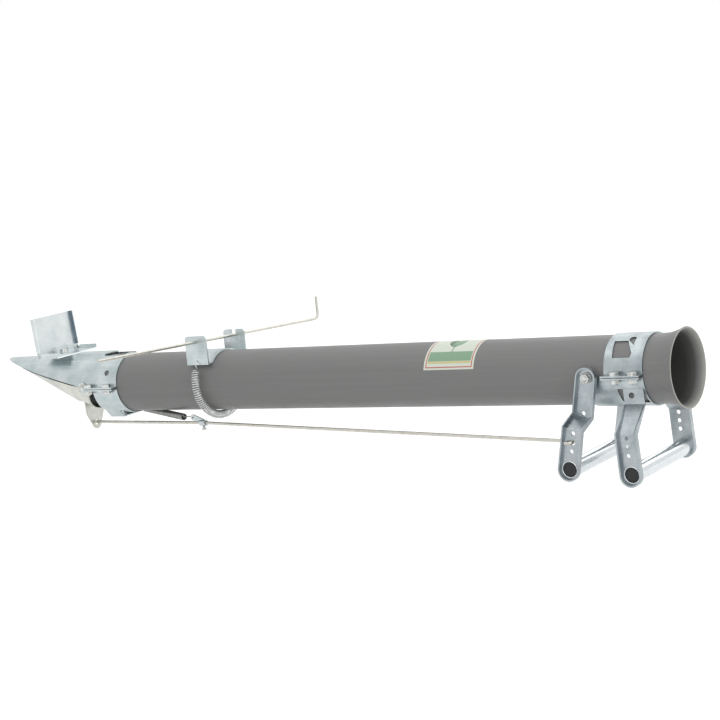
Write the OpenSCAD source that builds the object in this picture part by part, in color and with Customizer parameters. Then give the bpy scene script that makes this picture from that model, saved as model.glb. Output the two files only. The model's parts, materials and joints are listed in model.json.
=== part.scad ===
// Hand planter: a long plastic tube with a hinged steel beak at its foot, which a squeeze handle near
// the mouth opens through a pull rod. It is modelled along its tube, with x towards the mouth and z up,
// and then laid down as it rests on a floor, on its lever tongue and its handle arms. Millimetres.

/* [Tube] */
// Outside diameter of the tube
tube_d = 80; // [74:1:90]
// Wall thickness of the tube
tube_wall = 2.2; // [1.6:0.1:3.2]
// Length of the tube from its foot end to the mouth rim
tube_len = 885; // [750:5:1050]
// How far the flared mouth stands out from the tube all round
flare_rise = 6.4; // [3:0.2:9]
// Length of the flare
flare_len = 22; // [14:1:28]
// Thickness of the sticker
sticker_t = 0.25; // [0.15:0.05:0.5]
// Length of the sticker along the tube
sticker_len = 71; // [40:1:100]
// Height of the sticker, measured round the tube
sticker_h = 66; // [40:1:80]
// Distance from the foot end to the middle of the sticker
sticker_at = 592; // [450:1:620]
// Angle of the sticker's middle from the top of the tube, towards the near side
sticker_turn = 25; // [0:1:60]

/* [Sheet metal] */
// Thickness of the steel sheet
sheet = 1.8; // [1.2:0.1:2.4]
// Gap between a half shell and the tube
seat = 0.1; // [0.05:0.05:0.3]
// Gap between two flanges that a bolt draws together
flange_gap = 0.8; // [0.4:0.1:1.4]
// Width of a clamp flange outside its shell
flange_w = 10; // [9:0.5:13]

/* [Fasteners] */
// Diameter of the bolts
bolt_d = 6; // [5:0.5:6]
// Width across flats of bolt heads and nuts
hex_af = 10; // [9:0.5:11]
// Height of a bolt head
head_h = 4; // [3:0.5:5]
// Height of a nut
nut_h = 5; // [4:0.5:6]
// Diameter of the washers
washer_d = 13; // [12:0.5:16]
// Thickness of the washers
washer_t = 1.4; // [1:0.1:2]
// How far a bolt's end stands out of its nut
bolt_end = 1.5; // [0.5:0.5:4]
// Radial play of a bolt in a clearance hole
hole_play = 0.25; // [0.2:0.05:0.4]
// Radial play of a pivot pin in its bore
pivot_play = 0.06; // [0.03:0.01:0.09]

/* [Beak] */
// Length of the fixed jaw from its pivot to the tip
jaw_len = 179.3; // [150:1:210]
// How much of the sharp tip is cut off flat
tip_flat = 2; // [1:0.5:6]
// Distance of the jaw pivot beyond the foot end of the tube
pivot_reach = 19; // [17:0.5:26]
// Height of the jaw pivot above the tube's axis
pivot_rise = 1; // [0.5:0.5:3]
// Length of the beak collar on the tube
collar_len = 45.5; // [42:0.5:60]
// Gap all round between the fixed jaw and the moving jaw
jaw_gap = 1.5; // [1.2:0.1:2.2]
// How far the moving jaw's edge reaches up inside the fixed jaw
jaw_lap = 0.55; // [0.2:0.05:0.6]
// Distance of the moving jaw's rear rim behind the point where its axis meets the tube's
rim_back = 5; // [4.8:0.1:6]
// Radius of the ears round the jaw pivot
ear_r = 9; // [8:0.5:9]
// Distance of the lever tongue beyond the jaw pivot
tongue_reach = 26; // [22:0.5:30]
// How far the lever tongue's tip lies below the tube's wall, from the jaw pivot
tongue_gap = 27; // [24:0.5:32]
// How far the tongue's rod hole lies below the tube's wall, from the jaw pivot
lever_gap = 17.8; // [15.8:0.2:19.8]
// Width of the lever tongue at its root
tongue_w = 35; // [28:1:38]
// Radius of the lever tongue's round tip
tongue_tip_r = 8.6; // [7.6:0.2:10]
// Diameter of the peg hole in the side of the fixed jaw
side_hole_d = 8; // [5:0.5:10]
// Height of the flat crest pressed up along the fixed jaw
crest_rise = 2.1; // [1.5:0.1:3]
// Width of the flat of the crest and of the pad under the collar
crest_w = 26; // [22:1:28]
// Height of the pad pressed out under the collar
pad_rise = 4.8; // [4:0.2:6]
// Length of the window in the collar's top
window_len = 33; // [24:1:36]

/* [Foot plate] */
// Width of the foot plate
foot_w = 79; // [60:1:90]
// Height of its standing leg above its base
foot_h = 57; // [40:1:70]
// Length of its base along the tube
foot_base = 42; // [36:1:50]
// Height of the lips along its edges
foot_lip = 5; // [3:0.5:7]
// Distance from the jaw pivot to the standing leg
foot_at = 83; // [75:1:95]
// Lean of the standing leg towards the tip, in degrees
foot_lean = 3; // [0:0.5:6]

/* [Row marker] */
// Distance from the foot end of the tube to the middle of the marker bracket
bracket_at = 198.5; // [190:0.5:260]
// Width of the marker bracket along the tube
bracket_w = 37; // [30:1:46]
// Roll of the bracket about the tube, in degrees
bracket_roll = 3.3; // [0:0.1:6]
// Gap between the tube and the bracket that slides on it
slide_gap = 0.3; // [0.2:0.05:0.6]
// Height of the ears' top edge above the tube
ear_top = 24; // [22:0.5:30]
// Height of the marker wire above the tube
wire_rise = 16; // [12:0.5:17]
// How far the ears stand in from the tube's sides
ear_inset = 1.2; // [0:0.1:2]
// Diameter of the marker wire
wire_d = 4; // [3:0.5:5]
// Reach of the wire on the near side, from the middle of the tube
wire_near = 223; // [180:1:300]
// Reach of the wire on the far side
wire_far = 230; // [180:1:300]
// Length of the wire's turned up end
wire_up = 32; // [20:1:50]
// Radial play of the wire in its bracket
wire_play = 0.35; // [0.3:0.05:0.6]

/* [Springs] */
// Outside diameter of the strap spring
strap_d = 10; // [8:0.5:11]
// Wire diameter of the strap spring
strap_wire = 1.4; // [1.2:0.1:1.6]
// Curls of the strap spring
strap_curls = 48; // [30:1:48]
// Gap between the strap spring and the tube
strap_gap = 0.6; // [0.5:0.1:2]
// Outside diameter of the return spring
return_d = 9.5; // [8:0.5:10]
// Wire diameter of the return spring
return_wire = 1.6; // [1.4:0.1:1.7]
// Curls of the return spring
return_curls = 40; // [30:1:40]

/* [Handles] */
// Distance from the mouth rim to the fixed handle's arms
fixed_at = 51; // [46:1:60]
// Distance from the fixed handle's arms to the moving handle's pivot
pivot_back = 52.5; // [52:0.5:70]
// Space between the handle clamp and the moving arms' upper webs
arm_gap = 2.5; // [2.3:0.1:8]
// How far the moving arms' upper webs stand in from the lower webs
arm_joggle = 21.9; // [18:0.1:24]
// Thickness of the arm sheet
arm_t = 2; // [1.5:0.1:2.4]
// Depth of the arms' flanges
arm_flange = 5; // [4:0.5:7]
// Width of the arms
arm_w = 25; // [23:0.5:27]
// Depth of the fixed grip's axis below the tube's axis
fixed_drop = 106.5; // [100:0.5:120]
// Depth of the moving grip's axis below its pivot
moving_drop = 101; // [96:0.5:115]
// Lean of the moving grip's axis behind its pivot
moving_lean = 23; // [18:0.5:26]
// Diameter of the grip bars
grip_d = 20; // [18:0.5:21]
// Wall of the grip bars
grip_wall = 1.2; // [1:0.1:2]
// Length of the handle clamp's upper shell
clamp_len = 48; // [44:0.5:52]
// Radius of the clamp's ears round the handle pivot
clamp_ear_r = 10; // [9:0.5:11]
// Diameter of the row of holes in the arms
arm_hole_d = 5; // [4:0.5:6]

/* [Pull rod] */
// Diameter of the pull rod
rod_d = 4; // [3.5:0.1:4.2]
// Radial play of the rod's hooked end in the near moving arm
rod_play = 1.5; // [1.4:0.1:1.8]
// Radial play of the rod's hooked end in the lever tongue
tongue_play = 2.1; // [2:0.1:2.4]
// Drop from the handle pivot to the rod hole in the near arm
rod_arm = 69.6; // [68:0.2:74]
// Play of the rod in the spring clip
clip_play = 0.5; // [0.4:0.1:0.8]

/* [Hidden] */
$fn = 64;
tiny = 0.01;

zinc = "lightsteelblue";
bright = "silver";
pvc = "gray";

// Small fits: pieces of one body that touch, pieces that pass each other, and threads
touch = 0.05;
clear = 0.3;

tube_r = tube_d / 2;
bore_r = tube_r - tube_wall;
foot_x = -436;
mouth_x = foot_x + tube_len;
shell_in = tube_r + seat;
shell_out = shell_in + sheet;
shell_mid = shell_in + sheet / 2;
reach = tube_d;

bolt_r = bolt_d / 2;
hex_r = hex_af / 2 / cos(30);
hole_r = bolt_r + hole_play;
snug_r = bolt_r + touch;
pin_bore_r = bolt_r + pivot_play;

// Beak, from its pivot to the collar's edge
pivot_x = foot_x - pivot_reach;
pivot_at = [pivot_x, pivot_rise];
tip_x = pivot_x - jaw_len;
collar_x0 = foot_x - 1;
collar_x1 = foot_x + collar_len;
flange_top = flange_gap / 2 + sheet;
flange_x0 = pivot_x + ear_r + clear;
bolt_y = shell_out + hex_af / 2 + clear;
beak_bolt_xs = [flange_x0 + hex_af * 0.6, collar_x1 - hex_af * 1.5];
side_hole_x = collar_x1 - 19;
side_hole_turn = 61;
window_x1 = collar_x1 - 6.5;
window_x0 = window_x1 - window_len;
window_w = crest_w + 4;
pad_x1 = collar_x1 - 20.5;

// The moving jaw mirrors the fixed jaw in the cut between them, a little smaller all round.
cut_angle = atan((shell_out - pivot_rise) / jaw_len);
axis_x = pivot_x + pivot_rise / tan(cut_angle);
jaw_out = shell_in - jaw_gap;
jaw_in = jaw_out - sheet;
jaw_tip = tip_flat - (jaw_out + jaw_lap) / tan(cut_angle);
jaw_pivot = [-pivot_rise / tan(cut_angle), -pivot_rise];
tongue_x = pivot_x - tongue_reach;
tongue_heel = tongue_x - sheet / 2;
tongue_drop = tube_r + tongue_gap;
lever_arm = tube_r + lever_gap;
tongue_z = pivot_rise - tongue_drop;
tongue_shoulder = tongue_z + tongue_drop * 0.42;
rod_hole_z = pivot_rise - lever_arm;
tongue_hole_r = rod_d / 2 + tongue_play;
rivet_head_r = bolt_r + 2;
rivet_head_h = 2.4;
rivet_in = sqrt(pow(jaw_in, 2) - pow(rivet_head_r + pivot_rise + 1, 2)) - clear;
ear_washer_r = ear_r - 1;

// Foot plate, on the flat crest of the fixed jaw
plate_x = pivot_x - foot_at;
plate_z = shell_out + crest_rise;
plate_bolt = [plate_x + foot_base / 3, 0];
plate_slot = [12, 7.5];
crest_x0 = plate_x - 7;
lip_start = 8;

// Row marker, drawn in the bracket's own roll
bracket_x = foot_x + bracket_at;
saddle_in = tube_r + slide_gap;
saddle_out = saddle_in + sheet;
wire_at = [bracket_x, tube_r + wire_rise];
wire_bore_r = wire_d / 2 + wire_play;
notch_r = wire_bore_r + 0.9;
ear_high = tube_r + ear_top;
ear_in = tube_r - ear_inset;
ear_out = ear_in + sheet;
ear_low = tube_r * 0.64;
ear_corner = 5;
loop_hole = [bracket_x, ear_low + 4.5];
loop_hole_r = strap_wire / 2 + 1.4;

// Handles
arm_x = mouth_x - fixed_at;
handle_x = arm_x - pivot_back;
handle_at = [handle_x, 0];
clamp_x1 = arm_x + clamp_len * 0.31;
clamp_x0 = clamp_x1 - clamp_len;
clamp_bolt_xs = [clamp_x0 + hex_af * 1.6, clamp_x1 - hex_af];
clamp_window_turn = 45.5;
clamp_window_outline = [[8, 11.5], [25, 11.5], [33.5, -6], [32, -11.5], [10, -11.5]];
clamp_drop_at = [29.5, 14];
clamp_drop_r = 4.2;
clamp_drop_tip = [[27, 10.6], [33.4, 12.4], [34, 4]];
tab_window = [arm_x - arm_w / 2 - 7, arm_x + arm_w / 2 + 0.5];
tab_top = -tube_r * 0.37;
tab_low = -tube_r * 0.83;
tab_in = sqrt(pow(tube_r, 2) - pow(tab_top, 2)) + clear;
tab_hole = [arm_x - 2.5, tab_top - 7.6];
tab_hole_r = 3.5;
foot_r = arm_w / 2 + 0.5;
fixed_grip_at = [arm_x + 2, -fixed_drop];
fixed_shoulder = -fixed_drop + 45;
moving_grip_at = [handle_x - moving_lean, -moving_drop];
lean = atan(moving_lean / moving_drop);
knee = [handle_x - moving_lean * 0.47, -moving_drop * 0.47];
arm_slope = (moving_grip_at[0] - knee[0]) / (moving_grip_at[1] - knee[1]);
moving_bends = [knee[1] + 2, knee[1] - 9];
upper_in = shell_out + arm_gap;
lower_in = upper_in + arm_joggle;
grip_proud = 0.5;
grip_half = lower_in + arm_t + grip_proud;
grip_r = grip_d / 2;
grip_bore_r = grip_r - grip_wall;
plug_depth = grip_proud;
plug_len = 12;
arm_holes = [-41.6, -31.6, -21.6];
rod_hole_at = [on_arm(-rod_arm), -rod_arm];
rod_bore_r = rod_d / 2 + rod_play;
stud_collar = 1;

// Pull rod, its clip and the return spring
rod_bend = rod_d;
hook_x = tongue_heel - rod_d / 2 - 3;
hook_leg = rod_d * 2.2;
clip_at = [foot_x + 174, -18, rod_hole_z + 1.6];
rod_y = rod_d - lower_in;
outer_leg_y = -(lower_in + arm_t + rod_d / 2 + 1.3);
barrel_in = rod_d / 2 + clip_play;
barrel_out = barrel_in + sheet;
barrel_half = 5;
clip_eye = [clip_at[0] - 17, clip_at[2] + 7.5];
clip_eye_r = return_wire / 2 + 0.8;
screw_r = 2;
screw_head_r = 3.4;
spring_root = [pad_x1 + 7, 22, -shell_out - 0.7];
spring_end = [clip_at[0] - 34, clip_at[1] + 1, clip_at[2] + 8];

// How it rests: on the lever tongue and on whichever pair of handle arms comes down first
function lie(grip) = let (a = grip[0] - tongue_heel, b = tongue_z - grip[1])
    asin(foot_r / norm([a, b])) + atan2(b, a);
tilt = max(lie(fixed_grip_at), lie(moving_grip_at));
floor_z = tongue_heel * sin(tilt) + tongue_z * cos(tilt);
low_x = (tip_x + tip_flat) * cos(tilt) - shell_out * sin(tilt);
high_x = mouth_x * cos(tilt) + (tube_r + flare_rise) * sin(tilt);
near_y = -wire_near * cos(bracket_roll) + (wire_at[1] - wire_d / 2) * sin(bracket_roll);
far_y = (wire_far + wire_d / 2) * cos(bracket_roll) + (wire_at[1] + wire_up) * sin(bracket_roll);

function on_arm(z) = knee[0] + (z - knee[1]) * arm_slope;
function unit(v) = v / norm(v);

module lying() {
    translate([-(low_x + high_x) / 2, -(near_y + far_y) / 2, -floor_z])
        rotate([0, -tilt, 0]) children();
}

module rolled() {
    rotate([-bracket_roll, 0, 0]) children();
}

module both_sides() {
    children();
    mirror([0, 1, 0]) children();
}

// An outline of [y, z] points, drawn out along x
module along_x(x0, x1) {
    translate([x0, 0, 0]) rotate([90, 0, 90]) linear_extrude(x1 - x0) children();
}

// An outline of [x, z] points, drawn out along y
module along_y(y0, y1) {
    translate([0, y1, 0]) rotate([90, 0, 0]) linear_extrude(y1 - y0) children();
}

// A round pin through a place in the x, z plane, from y0 to y1
module pin_y(at, r, y0, y1) {
    translate([at[0], y1, at[1]]) rotate([90, 0, 0]) cylinder(r = r, h = y1 - y0);
}

module hex(h) {
    cylinder(r = hex_r, h = h, $fn = 6);
}

// The sides of a bar between two round ends. They run a hair inside the ends, to cross them cleanly.
module bar_sides(a, b, ra, rb) {
    heading = atan2(b[1] - a[1], b[0] - a[0]);
    side = acos((ra - rb) / norm(b - a));
    u = [cos(heading + side), sin(heading + side)];
    v = [cos(heading - side), sin(heading - side)];
    qa = ra - 2 * tiny;
    qb = rb - 2 * tiny;
    polygon([a + qa * u, b + qb * u, b + qb * v, a + qa * v]);
}

module bar(a, b, ra, rb) {
    bar_sides(a, b, ra, rb);
    translate(a) circle(ra);
    translate(b) circle(rb);
}

// The same bar, drawn out along y
module bar_y(a, b, ra, rb, y0, y1) {
    along_y(y0, y1) bar_sides(a, b, ra, rb);
    pin_y(a, ra, y0, y1);
    pin_y(b, rb, y0, y1);
}

// The section of a flat crest that a press raises from sheet formed round the tube
module crest(r, half, top, foot) {
    polygon([[-r * sin(foot), r * cos(foot)], [-half, top], [half, top], [r * sin(foot), r * cos(foot)]]);
}

module pipe_x(x0, x1, r) {
    translate([x0, 0, 0]) rotate([0, 90, 0]) cylinder(r = r, h = x1 - x0);
}

// A flange on each side, from inside the shell's wall to its outer edge
module flanges(x0, x1, low) {
    both_sides() translate([x0, shell_in + touch, low])
        cube([x1 - x0, sheet + flange_w - touch, sheet]);
}

module flange_holes(xs) {
    for (x = xs, side = [-1, 1])
        translate([x, side * bolt_y, -flange_top - 1]) cylinder(r = hole_r, h = 2 * flange_top + 2);
}

module flange_bolts(xs) {
    for (x = xs, side = [-1, 1]) translate([x, side * bolt_y, 0]) {
        translate([0, 0, flange_top]) hex(head_h);
        translate([0, 0, -flange_top - nut_h - bolt_end])
            cylinder(r = bolt_r, h = 2 * flange_top + nut_h + bolt_end + tiny);
    }
}

module flange_nuts(xs) {
    for (x = xs, side = [-1, 1]) translate([x, side * bolt_y, -flange_top - nut_h]) difference() {
        hex(nut_h);
        translate([0, 0, -1]) cylinder(r = snug_r, h = nut_h + 2);
    }
}

// Tube

flare = [for (t = [0 : 0.25 : 1]) [flare_rise * pow(t, 1.5), tube_len - flare_len * (1 - t)]];

module tube() {
    outside = [for (p = flare) [tube_r + p[0], p[1]]];
    inside = [for (i = [4 : -1 : 0]) [bore_r + flare[i][0], flare[i][1]]];
    color(pvc) lying() translate([foot_x, 0, 0]) rotate([0, 90, 0])
        rotate_extrude() polygon(concat([[bore_r, 0], [tube_r, 0]], outside, inside));
}

module sticker() {
    turn = sticker_h / tube_r * 180 / PI;
    color("ivory") lying() translate([foot_x + sticker_at - sticker_len / 2, 0, 0])
        rotate([0, 90, 0]) rotate([0, 0, 180 + sticker_turn - turn / 2])
            rotate_extrude(angle = turn) translate([tube_r + touch, 0]) square([sticker_t, sticker_len]);
}

// Beak

module fixed_jaw() {
    color(zinc) lying() difference() {
        union() {
            difference() {
                intersection() {
                    union() {
                        pipe_x(tip_x, collar_x1, shell_out);
                        along_x(crest_x0, window_x1) crest(shell_mid, crest_w / 2, plate_z, 26);
                    }
                    along_y(-reach, reach) union() {
                        polygon([pivot_at, [tip_x + tip_flat, shell_out - tip_flat * tan(cut_angle)],
                                 [tip_x + tip_flat, reach], [collar_x1, reach],
                                 [collar_x1, flange_gap / 2], [pivot_x, flange_gap / 2]]);
                        translate(pivot_at) circle(ear_r);
                    }
                }
                pipe_x(tip_x - 1, collar_x1 + 1, shell_in);
                along_x(crest_x0 + sheet, window_x1)
                    crest(shell_in - 1, (crest_w - sheet) / 2, plate_z - sheet, 24);
            }
            flanges(flange_x0, collar_x1, flange_gap / 2);
        }
        translate([window_x0, -window_w / 2, shell_in * 0.7]) cube([window_len, window_w, reach]);
        both_sides() translate([side_hole_x, 0, 0]) rotate([side_hole_turn, 0, 0])
            cylinder(r = side_hole_d / 2, h = reach);
        pin_y(pivot_at, snug_r, -reach, reach);
        translate([plate_bolt[0], 0, tube_r / 2]) cylinder(r = hole_r, h = tube_r);
        flange_holes(beak_bolt_xs);
    }
}

module lower_beak_collar() {
    color(zinc) lying() difference() {
        union() {
            difference() {
                union() {
                    pipe_x(collar_x0, collar_x1, shell_out);
                    along_x(collar_x0, pad_x1) mirror([0, 1])
                        crest(shell_mid, crest_w / 2, shell_out + pad_rise, 36);
                }
                pipe_x(collar_x0 - 1, collar_x1 + 1, shell_in);
                along_x(collar_x0 - 1, pad_x1 + 1) mirror([0, 1])
                    crest(shell_in - 1, (crest_w - sheet) / 2, shell_out + pad_rise - sheet, 33);
                translate([collar_x0 - 1, -reach, -flange_gap / 2])
                    cube([collar_x1 - collar_x0 + 2, 2 * reach, reach]);
            }
            flanges(flange_x0, collar_x1, -flange_top);
        }
        flange_holes(beak_bolt_xs);
    }
}

module beak_collar_bolts() {
    color(bright) lying() flange_bolts(beak_bolt_xs);
}

module beak_collar_nuts() {
    color(bright) lying() flange_nuts(beak_bolt_xs);
}

module in_jaw() {
    translate([axis_x, 0, 0]) rotate([0, 2 * cut_angle, 0]) children();
}

module moving_jaw() {
    slope = tan(cut_angle);
    color(zinc) lying() difference() {
        union() {
            in_jaw() difference() {
                intersection() {
                    pipe_x(jaw_tip, 2 * rim_back, jaw_out);
                    along_y(-reach, reach) union() {
                        polygon([[jaw_tip, slope * jaw_tip + jaw_lap], [jaw_tip, -reach],
                                 [rim_back, -reach], [rim_back, slope * rim_back + jaw_lap]]);
                        translate(jaw_pivot) circle(ear_r);
                    }
                }
                pipe_x(jaw_tip - 1, 3 * rim_back, jaw_in);
            }
            difference() {
                along_x(tongue_heel, tongue_heel + sheet) union() {
                    bar([0, tongue_shoulder], [0, tongue_z + tongue_tip_r], tongue_w / 2, tongue_tip_r);
                    translate([-tongue_w / 2, tongue_shoulder]) square([tongue_w, -tongue_shoulder / 2]);
                }
                in_jaw() pipe_x(jaw_tip, reach, (jaw_in + jaw_out) / 2);
            }
        }
        pin_y(pivot_at, pin_bore_r, -reach, reach);
        translate([tongue_x, 0, rod_hole_z]) rotate([0, 90, 0])
            cylinder(r = tongue_hole_r, h = 2 * sheet, center = true);
    }
}

module jaw_pivot_rivets() {
    washer_out = shell_out + touch + washer_t;
    color(bright) lying() both_sides() {
        pin_y(pivot_at, rivet_head_r, rivet_in - rivet_head_h, rivet_in);
        pin_y(pivot_at, bolt_r, rivet_in - tiny, washer_out + tiny);
        pin_y(pivot_at, rivet_head_r, washer_out, washer_out + rivet_head_h);
    }
}

module jaw_pivot_washers() {
    color(bright) lying() both_sides() difference() {
        pin_y(pivot_at, ear_washer_r, shell_out + touch, shell_out + touch + washer_t);
        pin_y(pivot_at, snug_r, shell_in, shell_out + 2 * washer_t);
    }
}

// Foot plate

module foot_plate() {
    color(zinc) lying() difference() {
        translate([plate_x, 0, plate_z]) {
            translate([0, -foot_w / 2, 0]) cube([foot_base, foot_w, sheet]);
            both_sides() translate([lip_start, foot_w / 2 - sheet, tiny])
                cube([foot_base - lip_start, sheet, sheet + foot_lip]);
            rotate([0, -foot_lean, 0]) difference() {
                union() {
                    translate([0, -foot_w / 2, 0]) cube([sheet, foot_w, foot_h]);
                    both_sides() translate([tiny, foot_w / 2 - sheet, lip_start])
                        cube([sheet + foot_lip, sheet, foot_h - lip_start]);
                }
                both_sides() along_x(-1, sheet + 1)
                    bar(plate_slot - [5.5, 0], plate_slot + [5.5, 0], 2.5, 2.5);
            }
        }
        translate([plate_bolt[0], 0, plate_z - 1]) cylinder(r = hole_r, h = sheet + 2);
    }
}

module foot_plate_bolt() {
    seat_z = plate_z + sheet + washer_t;
    nut_z = plate_z - sheet - nut_h;
    color(bright) lying() translate([plate_bolt[0], 0, 0]) {
        translate([0, 0, seat_z]) hex(head_h);
        translate([0, 0, nut_z - bolt_end]) cylinder(r = bolt_r, h = seat_z - nut_z + bolt_end + tiny);
    }
}

module foot_plate_washer() {
    color(bright) lying() translate([plate_bolt[0], 0, plate_z + sheet]) difference() {
        cylinder(r = washer_d / 2, h = washer_t);
        translate([0, 0, -1]) cylinder(r = snug_r, h = washer_t + 2);
    }
}

module foot_plate_nut() {
    color(bright) lying() translate([plate_bolt[0], 0, plate_z - sheet - nut_h]) difference() {
        hex(nut_h);
        translate([0, 0, -1]) cylinder(r = snug_r, h = nut_h + 2);
    }
}

// Row marker

module ear_outline() {
    half = bracket_w / 2;
    translate([bracket_x, 0]) {
        translate([-half, 0]) square([bracket_w, ear_high - ear_corner]);
        translate([ear_corner - half, 0]) square([bracket_w - 2 * ear_corner, ear_high]);
        for (side = [-1, 1]) translate([side * (half - ear_corner), ear_high - ear_corner])
            circle(ear_corner);
    }
}

module marker_bracket() {
    fold = sqrt(pow(saddle_in, 2) - pow(ear_low, 2)) + sheet * 0.6;
    x0 = bracket_x - bracket_w / 2;
    color(zinc) lying() rolled() difference() {
        intersection() {
            union() {
                difference() {
                    pipe_x(x0, x0 + bracket_w, saddle_out);
                    pipe_x(x0 - 1, x0 + bracket_w + 1, saddle_in);
                    translate([x0 - 1, -reach, ear_low - reach]) cube([bracket_w + 2, 2 * reach, reach]);
                }
                both_sides() {
                    translate([x0, fold, ear_low]) cube([bracket_w, ear_out - fold, sheet]);
                    translate([x0, ear_in, ear_low]) cube([bracket_w, sheet, ear_high - ear_low]);
                }
            }
            along_y(-reach, reach) ear_outline();
        }
        pin_y(wire_at, wire_bore_r, -reach, 0);
        pin_y(wire_at + [0, notch_r - wire_bore_r], notch_r, 0, reach);
        translate([wire_at[0] - notch_r, 0, wire_at[1] + notch_r - wire_bore_r])
            cube([2 * notch_r, reach, reach]);
        pin_y(loop_hole, loop_hole_r, -reach, reach);
    }
}

module marker_wire() {
    up = wire_at[1] + wire_up;
    color(bright) lying() rolled()
        bent_wire([[wire_at[0], -wire_near, wire_at[1]], [wire_at[0], wire_far, wire_at[1]],
                   [wire_at[0], wire_far, up]], wire_d / 2, 2 * wire_d);
}

// Round wire bent at the points of its route

function turn_at(p, i) = acos(unit(p[i] - p[i - 1]) * unit(p[i + 1] - p[i]));
function trim_at(p, i, bend) = i <= 0 || i >= len(p) - 1 ? 0 : bend * tan(turn_at(p, i) / 2);

module framed(x, y, z, at) {
    multmatrix([[x[0], y[0], z[0], at[0]], [x[1], y[1], z[1], at[1]],
                [x[2], y[2], z[2], at[2]], [0, 0, 0, 1]]) children();
}

module bent_wire(p, r, bend) {
    for (i = [0 : len(p) - 2]) {
        d = unit(p[i + 1] - p[i]);
        start = p[i] + d * trim_at(p, i, bend);
        end = p[i + 1] - d * trim_at(p, i + 1, bend);
        side = unit(cross(d, abs(d[2]) > 0.7 ? [1, 0, 0] : [0, 0, 1]));
        framed(side, cross(d, side), d, start) cylinder(r = r, h = norm(end - start));
    }
    for (i = [1 : len(p) - 2]) {
        d = unit(p[i] - p[i - 1]);
        next = unit(p[i + 1] - p[i]);
        inward = unit(next - d * (next * d));
        centre = p[i] - d * trim_at(p, i, bend) + inward * bend;
        framed(-inward, d, cross(d, inward), centre)
            rotate_extrude(angle = turn_at(p, i)) translate([bend, 0]) circle(r);
    }
}

// Wire that bends in space is one tube, carried ring by ring along its middle line. A spring has six
// sides and eight rings to a curl.

function tangent(p, i) = unit(p[min(i + 1, len(p) - 1)] - p[max(i - 1, 0)]);
function squared(n, t) = unit(n - t * (n * t));
function ring_sides(p) = [
    for (i = 0, n = squared([0.31, 0.23, 0.92], tangent(p, 0)); i < len(p);
         i = i + 1, n = i < len(p) ? squared(n, tangent(p, i)) : n) n];
function ring(at, t, n, r, sides) = [for (k = [0 : sides - 1])
    at + r * (n * cos(360 * k / sides) + cross(t, n) * sin(360 * k / sides))];
function least_gap(p, d) = min([for (i = [0 : len(p) - 4], j = [i + 3 : min(i + 12, len(p) - 1)])
    norm(p[j] - p[i])]) - d;

module wire_tube(p, r, sides = 6) {
    n = ring_sides(p);
    last = len(p) - 1;
    points = [for (i = [0 : last]) each ring(p[i], tangent(p, i), n[i], r, sides)];
    walls = [for (i = [0 : last - 1], k = [0 : sides - 1])
        let (a = sides * i + k, b = sides * i + (k + 1) % sides)
            each [[a, a + sides, b], [b, a + sides, b + sides]]];
    start = [for (k = [1 : sides - 2]) [0, k, k + 1]];
    end = [for (k = [1 : sides - 2]) [sides * last, sides * last + k + 1, sides * last + k]];
    polyhedron(points, concat(walls, start, end), convexity = 8);
}

// The route with each corner rounded to a bend radius, as a row of short steps
function corner(p, i, bend, steps) = let (
    d = unit(p[i] - p[i - 1]), next = unit(p[i + 1] - p[i]), inward = unit(next - d * (next * d)),
    from = p[i] - d * trim_at(p, i, bend), turn = turn_at(p, i))
    [for (k = [0 : steps]) let (a = turn * k / steps) from + bend * (d * sin(a) + inward * (1 - cos(a)))];
function rounded(p, bend) = concat([p[0]],
    [for (i = [1 : len(p) - 2]) each corner(p, i, bend, turn_at(p, i) > 20 ? 6 : 1)], [p[len(p) - 1]]);

// How far the wire stands off the spring's middle line; it leaves it over half a curl at each end
function spread(t, curls, r) = r * min(1, 2 * t * curls, 2 * (1 - t) * curls);

strap_r = (strap_d - strap_wire) / 2;
strap_path_r = tube_r + strap_gap + strap_d / 2;
strap_from = 180 - 17;
strap_sweep = 180 + 2 * 17;

function strap_point(t) = let (
    a = strap_from + strap_sweep * t, s = spread(t, strap_curls, strap_r), w = 360 * strap_curls * t)
    [loop_hole[0] + s * cos(w), (strap_path_r + s * sin(w)) * cos(a), (strap_path_r + s * sin(w)) * sin(a)];

// The wire goes through the hole in the ear from its inside, and then down outside it.
hook_z = loop_hole[1] - loop_hole_r + strap_wire / 2 + clear;
strap_hook = [[loop_hole[0], 2 - ear_in, hook_z], [loop_hole[0], -ear_out - 0.9, hook_z],
              [loop_hole[0], -ear_out - 2, hook_z - 1.3], [loop_hole[0], -ear_out - 2.4, hook_z - 4],
              [loop_hole[0], -ear_out - 2.7, hook_z - 9]];
strap_route = concat(strap_hook,
    [for (k = [0 : 8 * strap_curls]) strap_point(k / (8 * strap_curls))],
    [for (i = [len(strap_hook) - 1 : -1 : 0]) [strap_hook[i][0], -strap_hook[i][1], strap_hook[i][2]]]);

module strap_spring() {
    color(bright) lying() rolled() wire_tube(strap_route, strap_wire / 2);
}

// The return spring hooks into the pad under the collar and into the clip's eye.
return_r = (return_d - return_wire) / 2;
return_d0 = unit(spring_end - spring_root);
return_u = unit(cross(return_d0, [0, 0, 1]));
return_v = cross(return_d0, return_u);

function return_point(t) = let (s = spread(t, return_curls, return_r), w = 360 * return_curls * t)
    spring_root + (spring_end - spring_root) * t + return_u * s * cos(w) + return_v * s * sin(w);

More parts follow.
